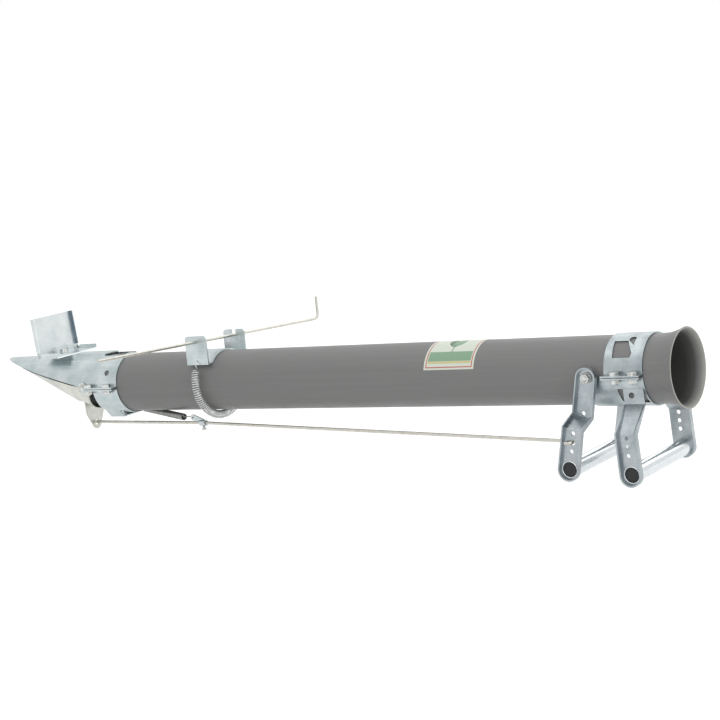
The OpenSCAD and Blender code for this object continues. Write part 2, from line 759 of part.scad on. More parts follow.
pad_in_z = -(shell_out + pad_rise - sheet);
return_route = concat(
    [[pad_x1 - 5, crest_w / 2 - 4, pad_in_z + return_wire],
     [pad_x1 + 1.5, crest_w / 2 - 4, pad_in_z + return_wire],
     [pad_x1 + 3.2, crest_w / 2 - 1, pad_in_z + return_wire * 1.2],
     [pad_x1 + 4.6, (spring_root[1] + crest_w / 2) / 2, (spring_root[2] + pad_in_z) / 2 + 1]],
    [for (k = [0 : 8 * return_curls]) return_point(k / (8 * return_curls))],
    [[spring_end[0] + 6, clip_at[1] + 2.6, clip_eye[1] + 0.8],
     [clip_eye[0] - 3, clip_at[1] + 3.4, clip_eye[1] + 0.4],
     [clip_eye[0] - 0.7, clip_at[1] + 2.6, clip_eye[1]],
     [clip_eye[0], clip_at[1] + 1.3, clip_eye[1]],
     [clip_eye[0], clip_at[1] - 3, clip_eye[1]]]);

module return_spring() {
    color("dimgray") lying() wire_tube(return_route, return_wire / 2);
}

echo(strap_spring_gap = least_gap(strap_route, strap_wire));
echo(return_spring_gap = least_gap(return_route, return_wire));

// Handle clamp

module clamp_window() {
    translate([clamp_x0, 0, 0]) rotate([clamp_window_turn, 0, 0]) linear_extrude(reach) {
        polygon(clamp_window_outline);
        translate(clamp_drop_at) circle(clamp_drop_r);
        polygon(clamp_drop_tip);
    }
}

module upper_handle_clamp() {
    color(zinc) lying() difference() {
        union() {
            difference() {
                pipe_x(clamp_x0, clamp_x1, shell_out);
                pipe_x(clamp_x0 - 1, clamp_x1 + 1, shell_in);
                translate([clamp_x0 - 1, -reach, flange_gap / 2 - reach])
                    cube([clamp_len + 2, 2 * reach, reach]);
            }
            flanges(clamp_x0, clamp_x1, flange_gap / 2);
        }
        both_sides() clamp_window();
        flange_holes(clamp_bolt_xs);
    }
}

module lower_handle_clamp() {
    x0 = handle_x - clamp_ear_r * 0.7;
    color(zinc) lying() difference() {
        union() {
            difference() {
                intersection() {
                    pipe_x(x0 - clamp_ear_r, clamp_x1, shell_out);
                    along_y(-reach, reach) union() {
                        polygon([[x0, -reach], [clamp_x1, -reach], [clamp_x1, -flange_gap / 2],
                                 [x0, -flange_gap / 2]]);
                        translate(handle_at) circle(clamp_ear_r);
                    }
                }
                pipe_x(x0 - 2 * clamp_ear_r, clamp_x1 + 1, shell_in);
            }
            flanges(clamp_x0, clamp_x1, -flange_top);
        }
        both_sides() translate([tab_window[0], tube_r * 0.4, tab_low])
            cube([tab_window[1] - tab_window[0], reach, tab_top - tab_low]);
        pin_y(handle_at, snug_r, -reach, reach);
        flange_holes(clamp_bolt_xs);
    }
}

module handle_clamp_bolts() {
    color(bright) lying() flange_bolts(clamp_bolt_xs);
}

module handle_clamp_nuts() {
    color(bright) lying() flange_nuts(clamp_bolt_xs);
}

// Handle arms. A web follows a path of three straight runs, and a flange stands out all round it.

// The path moved outwards by d: each bend moves along by d times the tangent of half its turn.
function moved_out(p, d) = let (half = atan2(p[2][0] - p[1][0], p[1][1] - p[2][1]) / 2)
    [for (i = [0 : 3]) p[i] + [d, i == 1 || i == 2 ? d * tan(half) : 0]];
function band(a, b) = concat(a, [for (i = [3 : -1 : 0]) b[i]]);

module channel(path, edge, turn, at) {
    difference() {
        intersection() {
            leaning(turn, at) along_x(handle_x - reach, mouth_x) polygon(band(path, edge));
            children(0);
        }
        intersection() {
            leaning(turn, at) along_x(handle_x - reach, mouth_x)
                polygon(band(moved_out(path, arm_t), moved_out(path, arm_t + arm_flange + 2)));
            children(1);
        }
    }
}

// Turns the bends square to a leaning arm, about a point in the arm's own plane
module leaning(turn, at) {
    translate([at[0], 0, at[1]]) rotate([0, turn, 0]) translate([-at[0], 0, -at[1]]) children();
}

module fixed_arm_outline(inset) {
    bar_y([arm_x, tab_top], fixed_grip_at, arm_w / 2 - inset, foot_r - inset, 0, 2 * reach);
}

module fixed_arm() {
    path = [[tab_in, tab_top], [tab_in, tab_low],
            [lower_in, fixed_shoulder], [lower_in, -fixed_drop - arm_w]];
    wide = moved_out(path, arm_t + arm_flange);
    narrow = moved_out(path, arm_t);
    difference() {
        channel(path, [narrow[0], narrow[1], wide[2], wide[3]], 0, fixed_grip_at) {
            fixed_arm_outline(0);
            fixed_arm_outline(arm_t);
        }
        for (drop = arm_holes)
            pin_y([arm_x, -fixed_drop - drop], arm_hole_d / 2, lower_in - 1, lower_in + arm_t + 1);
        pin_y(tab_hole, tab_hole_r, tab_in - 1, tab_in + arm_t + 1);
        pin_y(fixed_grip_at, grip_r + touch, 0, reach);
    }
}

module near_fixed_arm() {
    color(zinc) lying() mirror([0, 1, 0]) fixed_arm();
}

module far_fixed_arm() {
    color(zinc) lying() fixed_arm();
}

module moving_arm_outline(inset) {
    bar_y(handle_at, moving_grip_at, arm_w / 2 - inset, foot_r - inset, 0, 2 * reach);
}

module moving_arm() {
    path = [[upper_in, arm_w], [upper_in, moving_bends[0]],
            [lower_in, moving_bends[1]], [lower_in, -moving_drop - arm_w]];
    difference() {
        channel(path, moved_out(path, arm_t + arm_flange), lean, knee) {
            moving_arm_outline(0);
            moving_arm_outline(arm_t);
        }
        pin_y(handle_at, pin_bore_r, 0, reach);
        for (z = [-rod_arm - 10.5, -rod_arm + 10.4])
            pin_y([on_arm(z), z], arm_hole_d / 2, lower_in - 3, lower_in + arm_t + 1);
        pin_y([on_arm(knee[1] + 6.5), knee[1] + 6.5], arm_hole_d / 2, upper_in - 1, upper_in + arm_t + 1);
        pin_y(rod_hole_at, rod_bore_r, 0, reach);
        pin_y(moving_grip_at, grip_r + touch, 0, reach);
    }
}

module near_moving_arm() {
    color(zinc) lying() mirror([0, 1, 0]) moving_arm();
}

module far_moving_arm() {
    color(zinc) lying() moving_arm();
}

module grip(at) {
    difference() {
        pin_y(at, grip_r, -grip_half, grip_half);
        pin_y(at, grip_bore_r, -grip_half - 1, grip_half + 1);
    }
}

module grip_plugs(at) {
    both_sides() pin_y(at, grip_bore_r - touch, grip_half - plug_depth - plug_len, grip_half - plug_depth);
}

module fixed_grip() {
    color(zinc) lying() grip(fixed_grip_at);
}

module moving_grip() {
    color(zinc) lying() grip(moving_grip_at);
}

module fixed_grip_plugs() {
    color("black") lying() grip_plugs(fixed_grip_at);
}

module moving_grip_plugs() {
    color("black") lying() grip_plugs(moving_grip_at);
}

// Handle pivots, from the clamp's ears outwards: stud, bush, arm, washer, nut

bush_y = shell_out + touch + stud_collar;
pivot_washer_y = upper_in + arm_t + clear;
pivot_nut_y = pivot_washer_y + washer_t;

module handle_pivot_studs() {
    color(bright) lying() both_sides() {
        pin_y(handle_at, bolt_r, shell_in + touch, pivot_nut_y + nut_h + bolt_end);
        pin_y(handle_at, bolt_d, shell_out + touch, bush_y);
    }
}

module handle_pivot_bushes() {
    color(bright) lying() both_sides() difference() {
        pin_y(handle_at, bolt_d, bush_y, upper_in - clear);
        pin_y(handle_at, snug_r, bush_y - 1, upper_in + 1);
    }
}

module handle_pivot_washers() {
    color(bright) lying() both_sides() difference() {
        pin_y(handle_at, washer_d / 2, pivot_washer_y, pivot_nut_y);
        pin_y(handle_at, snug_r, pivot_washer_y - 1, pivot_nut_y + 1);
    }
}

module handle_pivot_nuts() {
    color(bright) lying() both_sides()
        translate([handle_x, pivot_nut_y, 0]) rotate([-90, 0, 0]) difference() {
        hex(nut_h);
        translate([0, 0, -1]) cylinder(r = snug_r, h = nut_h + 2);
    }
}

// Pull rod: hooked through the lever tongue, on through the clip, and hooked through the near arm

rod_route = [[hook_x, hook_leg, rod_hole_z], [hook_x, 0, rod_hole_z],
             [tongue_x + rod_d * 2, 0, rod_hole_z], clip_at,
             [rod_hole_at[0], rod_y, rod_hole_at[1]], [rod_hole_at[0], outer_leg_y, rod_hole_at[1]],
             [rod_hole_at[0] - rod_d * 2, outer_leg_y, rod_hole_at[1]]];

module pull_rod() {
    color(bright) lying() wire_tube(rounded(rod_route, rod_bend), rod_d / 2, 16);
}

module at_clip() {
    along = unit(rod_route[4] - rod_route[2]);
    side = unit(cross([0, 0, 1], along));
    framed(along, side, cross(along, side), clip_at) children();
}

module spring_clip() {
    color(zinc) lying() difference() {
        union() {
            at_clip() pipe_x(-barrel_half, barrel_half, barrel_out);
            along_y(clip_at[1] - sheet / 2, clip_at[1] + sheet / 2)
                bar(clip_eye, [clip_at[0] - 1, clip_at[2] + barrel_in], 4.2, 3);
        }
        at_clip() pipe_x(-reach, reach, barrel_in);
        at_clip() translate([0, 0, -reach]) cylinder(r = screw_r + touch, h = reach);
        pin_y(clip_eye, clip_eye_r, -reach, reach);
    }
}

module clip_screw() {
    low = barrel_out + 3.4;
    color(bright) lying() at_clip() {
        translate([0, 0, -low]) cylinder(r = screw_r, h = low - rod_d / 2 - clear);
        translate([0, 0, -low - 2]) cylinder(r = screw_head_r, h = 2);
    }
}

tube();
sticker();
fixed_jaw();
lower_beak_collar();
beak_collar_bolts();
beak_collar_nuts();
moving_jaw();
jaw_pivot_rivets();
jaw_pivot_washers();
foot_plate();
foot_plate_bolt();
foot_plate_washer();
foot_plate_nut();
marker_bracket();
strap_spring();
marker_wire();
upper_handle_clamp();
lower_handle_clamp();
handle_clamp_bolts();
handle_clamp_nuts();
near_fixed_arm();
far_fixed_arm();
fixed_grip();
fixed_grip_plugs();
near_moving_arm();
far_moving_arm();
moving_grip();
moving_grip_plugs();
handle_pivot_studs();
handle_pivot_bushes();
handle_pivot_washers();
handle_pivot_nuts();
pull_rod();
spring_clip();
clip_screw();
return_spring();
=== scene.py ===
"""Looks of the hand planter, laid out as an add-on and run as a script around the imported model."""
import json
import math

import bmesh
import bpy
from bpy.props import FloatProperty, FloatVectorProperty, IntProperty, PointerProperty
from bpy.types import Operator, Panel, PropertyGroup
from mathutils import Matrix, Vector


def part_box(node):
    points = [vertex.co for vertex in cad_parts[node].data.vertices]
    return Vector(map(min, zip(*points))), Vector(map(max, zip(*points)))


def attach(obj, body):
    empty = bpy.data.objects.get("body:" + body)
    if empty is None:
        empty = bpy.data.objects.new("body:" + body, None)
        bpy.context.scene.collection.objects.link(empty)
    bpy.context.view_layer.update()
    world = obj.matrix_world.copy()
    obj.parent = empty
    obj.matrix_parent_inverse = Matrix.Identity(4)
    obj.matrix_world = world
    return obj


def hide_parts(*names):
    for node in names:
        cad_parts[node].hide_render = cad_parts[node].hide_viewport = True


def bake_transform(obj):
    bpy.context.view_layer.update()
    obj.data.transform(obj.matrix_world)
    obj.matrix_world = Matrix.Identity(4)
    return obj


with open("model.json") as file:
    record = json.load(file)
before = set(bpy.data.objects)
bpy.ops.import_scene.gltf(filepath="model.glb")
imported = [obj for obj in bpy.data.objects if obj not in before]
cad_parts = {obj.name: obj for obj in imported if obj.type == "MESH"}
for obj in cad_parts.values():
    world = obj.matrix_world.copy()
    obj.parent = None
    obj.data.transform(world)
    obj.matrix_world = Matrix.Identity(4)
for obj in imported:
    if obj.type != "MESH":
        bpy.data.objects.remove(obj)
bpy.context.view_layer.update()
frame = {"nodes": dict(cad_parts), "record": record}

bl_info = {
    "name": "Hand planter",
    "version": (1, 0, 0),
    "blender": (4, 5, 0),
    "location": "3D View > Sidebar > Planter",
    "description": "Models and finishes the pieces of a hand planter around its packed frame",
    "category": "Object",
}

MM = 0.001
BODY = {node: body for body, nodes in frame["record"]["behaviour"]["bodies"].items() for node in nodes}
MERGE = MM / 200    # corners nearer than this are one
SHARP = math.radians(40)    # a corner of bent sheet turns by more than this
BORE_PLAY = 0.05 * MM    # between a shank and the bore of a nut or a washer

# Places that the source gives, in metres and radians or, for the return spring's route, in mm
BORE_AT = 227.0 * MM    # middle of the tube's bore, from the origin of the tube's frame
FOOT_BEFORE_BORE = 663 * MM    # from the tube's foot end to the middle of its bore
SADDLE_X = -237.5 * MM    # middle of the saddle along the tube
SADDLE_ROLL = math.radians(3.3)    # turn of the saddle about the tube
EAR_MID = 39.7 * MM    # middle of an ear's sheet across the tube
RING_Z, RING_R = 25.6 * MM, 5.2 * MM    # end rings of the strap spring, through the holes in the ears
STRAP_GAP = 0.6 * MM    # between the strap spring and the tube, below
STRAP_RISE = math.radians(23)    # how far the strap's coil runs up past the tube's middle
JAW_TOP, JAW_REACH = 41.9 * MM, 179.3 * MM    # tip of the beak: its height, and its place before the hinge
STEP_AT, STEP_HIGH = 83 * MM, 44 * MM    # foot of the step's leg, from the hinge and over the tube
STEP_LEAN = math.radians(3)
GRIP_WALL = 1.2 * MM
RETURN_ENDS = ((-404, 22, -42.6), (-296, -17, -47.2))
RETURN_HOOKS = (
    ((-416, 9, -43.5), (-409.5, 9, -43.5), (-407.8, 12, -43.1), (-406.4, 17.5, -42.8)),
    ((-290, -15.4, -46.9), (-282, -14.6, -47.3), (-279.7, -15.4, -47.7), (-279, -16.7, -47.7),
     (-279, -21, -47.7)),
)

# Where the scene leaves the solids, or is finer
STRAP_BULGE = 2.4 * MM    # how much further out the strap spring stands at the tube's sides
SEAM_GAP = 1.1 * MM    # open seam between the jaws
SWELL_FROM, SWELL_RUN = 16 * MM, 10 * MM    # start and length of the swell, ahead of the lower jaw's hinge
JAW_SWELL = 3 * MM    # how far the lower jaw comes out there
SLOT_FILL = (0.9 * MM, 50 * MM, 8 * MM)    # sheet that closes the slots of the step's leg from behind
SLOT_FILL_AT = (0.5 * MM, 0, 7.5 * MM)    # its middle, from the foot of the leg
STEP_RIM = 12 * MM    # reach of the painted shade on the step's lip, which faces the near side
LIP_DEEP = 11 * MM    # over which the painted highlight on the lip darkens into the painted shade of the bore
LIP_ROUND = 0.7 * MM    # rounding of the tube's ends
FLARE_STEPS, FLARE_CURVE = 12, 1.5    # rings of the flare, and the power that its outside follows
FILM_OVER, FILM_THICK = 0.3 * MM, 0.22 * MM    # the film's outside over the tube, and its thickness

# Frames and colours


def tube_frame():
    """The tube's own frame, in which all is modelled: X runs to the mouth, Z up, Y to the far side."""
    bore = next(mount for mount in frame["record"]["mounts"] if mount["name"] == "tube_bore")
    along = Vector(bore["axis"]).normalized()
    across = Vector((0.0, 1.0, 0.0))
    turn = Matrix((along, across, along.cross(across))).transposed()
    return Matrix.Translation(Vector(bore["pos_m"]) - along * BORE_AT) @ turn.to_4x4()


TUBE = tube_frame()
TILT = math.atan2(TUBE[2][0], TUBE[0][0])


def cut_between_jaws():
    """A point and a normal, in the row's frame, of the cut from the hinge of the jaws up to their tip."""
    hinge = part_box("jaw_pivot_rivets")
    middle = TUBE.inverted() @ ((Vector(hinge[0]) + Vector(hinge[1])) / 2)
    slope = (JAW_TOP - middle.z) / JAW_REACH
    return TUBE @ middle, (TUBE.to_3x3() @ Vector((slope, 0, 1))).normalized()


SEAM = cut_between_jaws()


def linear(hexa):
    """An sRGB hex value as linear red, green and blue."""
    shades = [int(hexa[i:i + 2], 16) / 255 for i in (0, 2, 4)]
    return tuple(s / 12.92 if s <= 0.04045 else ((s + 0.055) / 1.055) ** 2.4 for s in shades)


# Tones of dirt and wear, of single pieces, and of painted shade: a shadow line under the jaws' seam and the
# shaded lip of the step
TONE = {name: linear(shade) for name, shade in (
    ("dust", "888681"), ("mottle", "8d8f8a"), ("painted_seam_shadow", "3a3c3b"), ("worn plug", "2b2d2f"),
    ("dull jaw", "bdbfb9"), ("step", "e3e8e8"), ("dull step", "cfd7d8"), ("lip", "7d8a95"),
    ("dull lip", "63707c"), ("clamp", "c6ced0"), ("dull rod", "9b9a90"), ("dull strap", "a3a5a6"),
    ("dull spring", "777a79"),
)}


def length(name, text, default, low, high):
    return FloatProperty(name=name, description=text, default=default * MM, min=low * MM, max=high * MM,
                         precision=5, unit="LENGTH")


def angle(name, text, degrees):
    return FloatProperty(name=name, description=text, default=math.radians(degrees), subtype="ANGLE")


def colour(name, text, hexa):
    return FloatVectorProperty(name=name, description=text, default=linear(hexa), min=0.0, max=1.0,
                               subtype="COLOR")


# Sizes and colours that a user would change


class TubeSettings(PropertyGroup):
    diameter: length("Diameter", "Outside diameter of the pipe", 80, 70, 95)
    wall: length("Wall", "Wall of the pipe", 2.2, 1.5, 4)
    reach: length("Length", "Length of the pipe", 885, 700, 1100)
    flare: length("Flare", "How far the mouth flares out", 6.4, 2, 10)
    flare_length: length("Flare length", "Length of the flared end", 22, 10, 40)
    shade: colour("Pipe", "Grey of the pipe", "7b7b7b")
    dusk: colour("Streaks", "Darker streaks of the pipe", "767676")
    # Painted shade: the bore's darker grey stands in for the shade inside the pipe
    bore: colour("Bore", "Painted shade inside the pipe", "484847")
    # Painted highlight: the lip's paler grey stands in for light on the mouth's edge
    lip: colour("Lip", "Painted highlight on the edge of the mouth", "a3a29b")
    film_length: length("Film length", "Length of the film along the pipe", 71, 40, 100)
    film_width: length("Film width", "Width of the film round the pipe", 66, 40, 90)
    film_at: length("Film place", "Middle of the film along the pipe", 156, 0, 300)
    film_turn: angle("Film turn", "Turn of the film to the near side", 25)
    paper: colour("Paper", "Ground of the print", "dfe6d8")
    border: colour("Border", "Border of the print", "c4625e")
    field: colour("Field", "Green band of the print", "86ab8c")
    straw: colour("Straw", "Yellow band of the print", "d6c98f")
    leaf: colour("Leaf", "Leaves of the print", "4f7a5b")


class SheetSettings(PropertyGroup):
    thickness: length("Sheet", "Thickness of the sheet metal", 1.8, 1, 3)
    bend: length("Bend", "Outside radius of the bends", 2.2, 0.5, 4)
    edge: length("Edge", "Rounding of the cut edges", 0.35, 0.1, 0.8)
    light: colour("Light zinc", "Pale tone of the zinc coat", "d3dadb")
    dark: colour("Dark zinc", "Dull tone of the zinc coat", "b3bfc1")
    cream: colour("Warm zinc", "Warmer tone of the lower jaw", "d6d7cf")
    arm: colour("Arm zinc", "Grey tone of the arms", "b6bcbf")
    shade: colour("Arm shade", "Dull tone of the arms and the clamp", "98a1a5")
    grip: colour("Grip", "Bright zinc of the grips", "dfe4e6")
    plug: colour("Plugs", "Black of the grip plugs", "17181a")


class WireSettings(PropertyGroup):
    strap_curls: IntProperty(name="Strap curls", description="Curls of the strap spring",
                             default=65, min=40, max=75)
    strap_wire: length("Strap wire", "Wire of the strap spring", 1.4, 1, 1.6)
    strap_width: length("Strap width", "Outside diameter of the strap spring", 11.5, 7, 12)
    return_curls: IntProperty(name="Return curls", description="Curls of the return spring",
                              default=80, min=40, max=85)
    return_wire: length("Return wire", "Wire of the return spring", 1.3, 1, 1.4)
    return_width: length("Return width", "Outside diameter of the return spring", 9.5, 8, 11)
    rod: colour("Rod", "Zinc on the long wires", "cfcdc4")
    bright: colour("Spring", "Bright drawn steel", "dcdedd")
    grey: colour("Grey spring", "Dull drawn steel", "a5a7a5")


class FastenerSettings(PropertyGroup):
    shank: length("Shank", "Diameter of the bolts", 6, 4, 8)
    flats: length("Flats", "Width of the hexagons across their flats", 10, 8, 13)
    head: length("Head", "Height of a bolt's head", 4, 3, 6)
    pitch: length("Pitch", "Pitch of the thread", 1, 0.7, 1.5)
    light: colour("Light", "Bright tone of the plating", "ccd0d0")
    dark: colour("Tarnish", "Warm tone of the plating", "aeaca4")


class StageSettings(PropertyGroup):
    floor: colour("Floor", "Colour of the floor", "f2f2f2")
    world: FloatProperty(name="Room light", description="Strength of the light from all round", default=0.63)
    key: FloatProperty(name="Main lamp", description="Power of the main lamp", default=14.0, unit="POWER")
    fill: FloatProperty(name="Fill lamp", description="Power of the fill lamp", default=12.0, unit="POWER")
    azimuth: angle("Azimuth", "Camera's place round the tube", 36.574)
    elevation: angle("Elevation", "Camera's height over the tube", 8.148)
    roll: angle("Roll", "Turn of the camera about its view", -7.863)
    distance: FloatProperty(name="Distance", description="From the camera to the tube's middle",
                            default=2.172995, unit="LENGTH")
    aim_height: length("Aim height", "Height of the aim over the tube's middle line", 20.635, 0, 60)
    lens: FloatProperty(name="Lens", description="Focal length in mm on a 36 mm sensor", default=85.9715)


GROUPS = {
    TubeSettings: "planter_tube",
    SheetSettings: "planter_sheet",
    WireSettings: "planter_wire",
    FastenerSettings: "planter_fasteners",
    StageSettings: "planter_stage",
}


def settings(group):
    return getattr(bpy.context.scene, GROUPS[group])


# Modelling by hand


def only(piece):
    """Selects one object and nothing else."""
    bpy.ops.object.select_all(action="DESELECT")
    piece.select_set(True)
    bpy.context.view_layer.objects.active = piece
    return piece


def fresh(operator, **values):
    """The object that an operator adds, with everything else deselected first."""
    bpy.ops.object.select_all(action="DESELECT")
    operator(**values)
    return bpy.context.object


def editing(piece, on=True):
    """Goes into a piece's mesh with all of it selected, or leaves it."""
    if on:
        only(piece)
    bpy.ops.object.mode_set(mode="EDIT" if on else "OBJECT")
    if on:
        bpy.ops.mesh.select_all(action="SELECT")


def with_modifier(piece, kind, **values):
    """Adds a modifier, sets it and applies it."""
    only(piece)
    bpy.ops.object.modifier_add(type=kind)
    modifier = piece.modifiers[-1]
    for key, value in values.items():
        setattr(modifier, key, value)
    bpy.ops.object.modifier_apply(modifier=modifier.name)
    return piece


def smooth(piece, degrees=35):
    only(piece)
    bpy.ops.object.shade_smooth_by_angle(angle=math.radians(degrees))
    return piece


def turned(profile, steps=48, closed=True):
    """A piece turned about X from its profile: points of length along X and radius, in metres."""
    piece = fresh(bpy.ops.mesh.primitive_plane_add, size=MM, location=(0, 0, 0))
    editing(piece)
    bpy.ops.mesh.merge(type="CENTER")
    bpy.ops.transform.translate(value=(profile[0][0], 0, profile[0][1]))
    points = list(profile) + ([profile[0]] if closed else [])
    for (x0, r0), (x1, r1) in zip(points, points[1:]):
        bpy.ops.mesh.extrude_region_move(TRANSFORM_OT_translate={"value": (x1 - x0, 0, r1 - r0)})
    bpy.ops.mesh.select_all(action="SELECT")
    bpy.ops.mesh.spin(steps=steps, angle=2 * math.pi, center=(0, 0, 0), axis=(1, 0, 0))
    bpy.ops.mesh.select_all(action="SELECT")
    bpy.ops.mesh.remove_doubles(threshold=MERGE)
    bpy.ops.mesh.normals_make_consistent(inside=False)
    editing(piece, False)
    return smooth(piece)


def cut(piece, tool, operation="DIFFERENCE"):
    """Cuts a piece with a tool piece, which is then thrown away."""
    with_modifier(piece, "BOOLEAN", operation=operation, object=tool, solver="EXACT")
    bpy.data.objects.remove(tool)
    return piece


def copied(piece, place):
    """A copy with a mesh of its own, set into place."""
    again = piece.copy()
    again.data = piece.data.copy()
    bpy.context.scene.collection.objects.link(again)
    again.data.transform(place)
    return again


def block(size, place):
    """A box with its middle at the origin, set into place."""
    piece = fresh(bpy.ops.mesh.primitive_cube_add, size=1, location=(0, 0, 0), scale=size)
    bpy.ops.object.transform_apply(location=False, rotation=False, scale=True)
    piece.data.transform(place)
    return piece


def joined(pieces):
    only(pieces[0])
    for piece in pieces[1:]:
        piece.select_set(True)
    if len(pieces) > 1:
        bpy.ops.object.join()
    return pieces[0]


def facing(at, along):
    """The place of a turned piece: its X runs along a direction, and its Z along the tube."""
    x = Vector(along).normalized()
    z = Vector((1, 0, 0))
    return Matrix.Translation(at) @ Matrix((x, z.cross(x), z)).transposed().to_4x4()


def wire(points, radius, sides=8):
    """Round wire along points in metres."""
    piece = fresh(bpy.ops.curve.primitive_nurbs_path_add, location=(0, 0, 0))
    piece.data.splines.clear()
    spline = piece.data.splines.new("POLY")
    spline.points.add(len(points) - 1)
    for point, place in zip(spline.points, points):
        point.co = (*place, 1)
    piece.data.dimensions = "3D"
    piece.data.bevel_depth = radius
    piece.data.bevel_resolution = sides // 2 - 2
    piece.data.use_fill_caps = True
    only(piece)
    bpy.ops.object.convert(target="MESH")
    return smooth(bpy.context.object, 60)


def traced(node):
    """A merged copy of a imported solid, in the tube's frame."""
    piece = bpy.data.objects.new(node + "_copy", frame["nodes"][node].data.copy())
    bpy.context.scene.collection.objects.link(piece)
    piece.data.materials.clear()
    piece.data.transform(TUBE.inverted())
    only(piece)
    if piece.data.has_custom_normals:
        bpy.ops.mesh.customdata_custom_splitnormals_clear()
    editing(piece)
    bpy.ops.mesh.remove_doubles(threshold=MERGE)
    bpy.ops.mesh.select_all(action="SELECT")
    bpy.ops.mesh.dissolve_limited(angle_limit=math.radians(0.4))
    editing(piece, False)
    return piece


def solids(node):
    """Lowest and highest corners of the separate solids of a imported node, in the tube's frame."""
    piece = traced(node)
    editing(piece)
    bpy.ops.mesh.separate(type="LOOSE")
    editing(piece, False)
    boxes = []
    for part in list(bpy.context.selected_objects):
        spots = [vertex.co for vertex in part.data.vertices]
        boxes.append((Vector(map(min, *spots)), Vector(map(max, *spots))))
        bpy.data.objects.remove(part)
    return sorted(boxes, key=lambda box: (round(box[0].y, 4), round(box[0].x, 4)))


def outward(low, high):
    """The place of a piece that lies across the tube, from its inner end outwards."""
    side = 1 if low.y + high.y > 0 else -1
    middle = (low + high) / 2
    return facing((middle.x, low.y if side > 0 else high.y, middle.z), (0, side, 0))


def downward(low, high):
    """The place of a piece that stands on the tube's Z, from its top down."""
    middle = (low + high) / 2
    return facing((middle.x, middle.y, high.z), (0, 0, -1))


def repeated(piece, node, placing):
    """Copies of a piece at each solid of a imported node, as one object; the first piece is thrown away."""
    copies = [copied(piece, placing(low, high)) for low, high in solids(node)]
    bpy.data.objects.remove(piece)
    return joined(copies)


def thread(start, end, radius, pitch):
    """Profile of a thread that runs out in a chamfer."""
    groove, chamfer = pitch * 0.32, pitch * 0.7
    points = []
    for k in range(int((end - start - pitch) / pitch)):
        points += [(start + pitch * k, radius), (start + pitch * (k + 0.5), radius - groove)]
    return points + [(end - pitch, radius), (end, radius - chamfer)]


def ring(outer, inner, deep):
    """A flat ring with eased edges."""
    ease = min(0.25 * MM, deep / 4)
    return turned([(0, inner), (0, outer - ease), (ease, outer), (deep - ease, outer), (deep, outer - ease),
                   (deep, inner)], 40)


def hexagon(high, flats, bore, both_ends):
    """A hexagon with its corners turned off at one end or both; its corners point along the tube."""
    corner = flats / 2 / math.cos(math.pi / 6)
    prism = fresh(bpy.ops.mesh.primitive_cylinder_add, vertices=6, radius=corner, depth=high,
                  location=(0, 0, 0))
    prism.data.transform(Matrix.Translation((high / 2, 0, 0)) @ Matrix.Rotation(math.pi / 2, 4, "X")
                         @ Matrix.Rotation(math.pi / 2, 4, "Y"))
    face, clear, past = flats * 0.475, corner * 1.02, 0.01 * MM
    slope = (clear - face) * math.tan(math.pi / 6)
    profile = [(-past, bore), (-past, face), (slope, clear)]
    profile += [(high - slope, clear), (high + past, face)] if both_ends else [(high + past, clear)]
    lens = turned(profile + [(high + past, bore)], 60, closed=bore > 0)
    return smooth(cut(prism, lens, "INTERSECT"), 25)


def reach_across(face, edge):
    """How far a face reaches from one of its edges."""
    start = edge.verts[0].co
    line = (edge.verts[1].co - start).normalized()
    return max((vertex.co - start).cross(line).length for vertex in face.verts)


def pick_bends(piece, wide, inside=False):
    """Selects the edges where two wide faces of bent sheet meet, and says whether there are any."""
    mesh = bmesh.from_edit_mesh(piece.data)
    for item in (*mesh.verts, *mesh.edges, *mesh.faces):
        item.select = False
    found = False
    for edge in mesh.edges:
        if len(edge.link_faces) != 2:
            continue
        turn = edge.calc_face_angle_signed(0.0) * (-1 if inside else 1)
        if turn > SHARP and all(reach_across(face, edge) > wide for face in edge.link_faces):
            edge.select = True
            found = True
    mesh.select_flush(True)
    bmesh.update_edit_mesh(piece.data)
    return found


def pressed(node, wide=5 * MM):
    """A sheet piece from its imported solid, with bent corners and eased edges."""
    sheet = settings(SheetSettings)
    piece = traced(node)
    editing(piece)
    bpy.ops.mesh.select_mode(type="EDGE")
    if pick_bends(piece, wide):
        bpy.ops.mesh.bevel(offset=sheet.bend, segments=4, affect="EDGES", clamp_overlap=True)
    if pick_bends(piece, wide, inside=True):
        bpy.ops.mesh.bevel(offset=sheet.edge * 2, segments=2, affect="EDGES", clamp_overlap=True)
    bpy.ops.mesh.select_mode(type="VERT")
    editing(piece, False)
    return eased(piece)


def eased(piece):
    """Rounds the cut edges of a sheet piece."""
    with_modifier(piece, "BEVEL", width=settings(SheetSettings).edge, segments=2, limit_method="ANGLE",
                  angle_limit=math.radians(32), use_clamp_overlap=True)
    smooth(piece, 40)
    return with_modifier(piece, "WEIGHTED_NORMAL", keep_sharp=True)


def fitted(piece, name, finish, slot, *nodes, rides=True):
    """Sets a piece from the tube's frame into the row's, with its name, finish, nodes and body; its slot is
    not used. A piece that is blended between bodies doesn't ride on one."""
    piece.data.transform(TUBE)
    piece.name = piece.data.name = name
    piece.data.materials.clear()
    piece.data.materials.append(finish)
    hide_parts(*nodes)
    if rides:
        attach(piece, BODY[nodes[0]])
    return piece


# Finishes. Map Range takes 0 the value, 1 and 2 its range, and 3 and 4 what that becomes. Mix takes 0 the
# share and 6 and 7 the two colours, and its output 2 is their mix.

SPREAD = {1: 0.3, 2: 0.7}    # noise seldom leaves this range


def add(tree, kind, inputs=None, out=0, **values):
    """Adds a shader node with its settings, links or sets its inputs, and gives one of its outputs."""
    made = tree.nodes.new("ShaderNode" + kind)
    for key, value in values.items():
        setattr(made, key, value)
    for key, value in (inputs or {}).items():
        if isinstance(value, bpy.types.NodeSocket):
            tree.links.new(value, made.inputs[key])
        else:
            made.inputs[key].default_value = value
    return made.outputs[out] if made.outputs else made


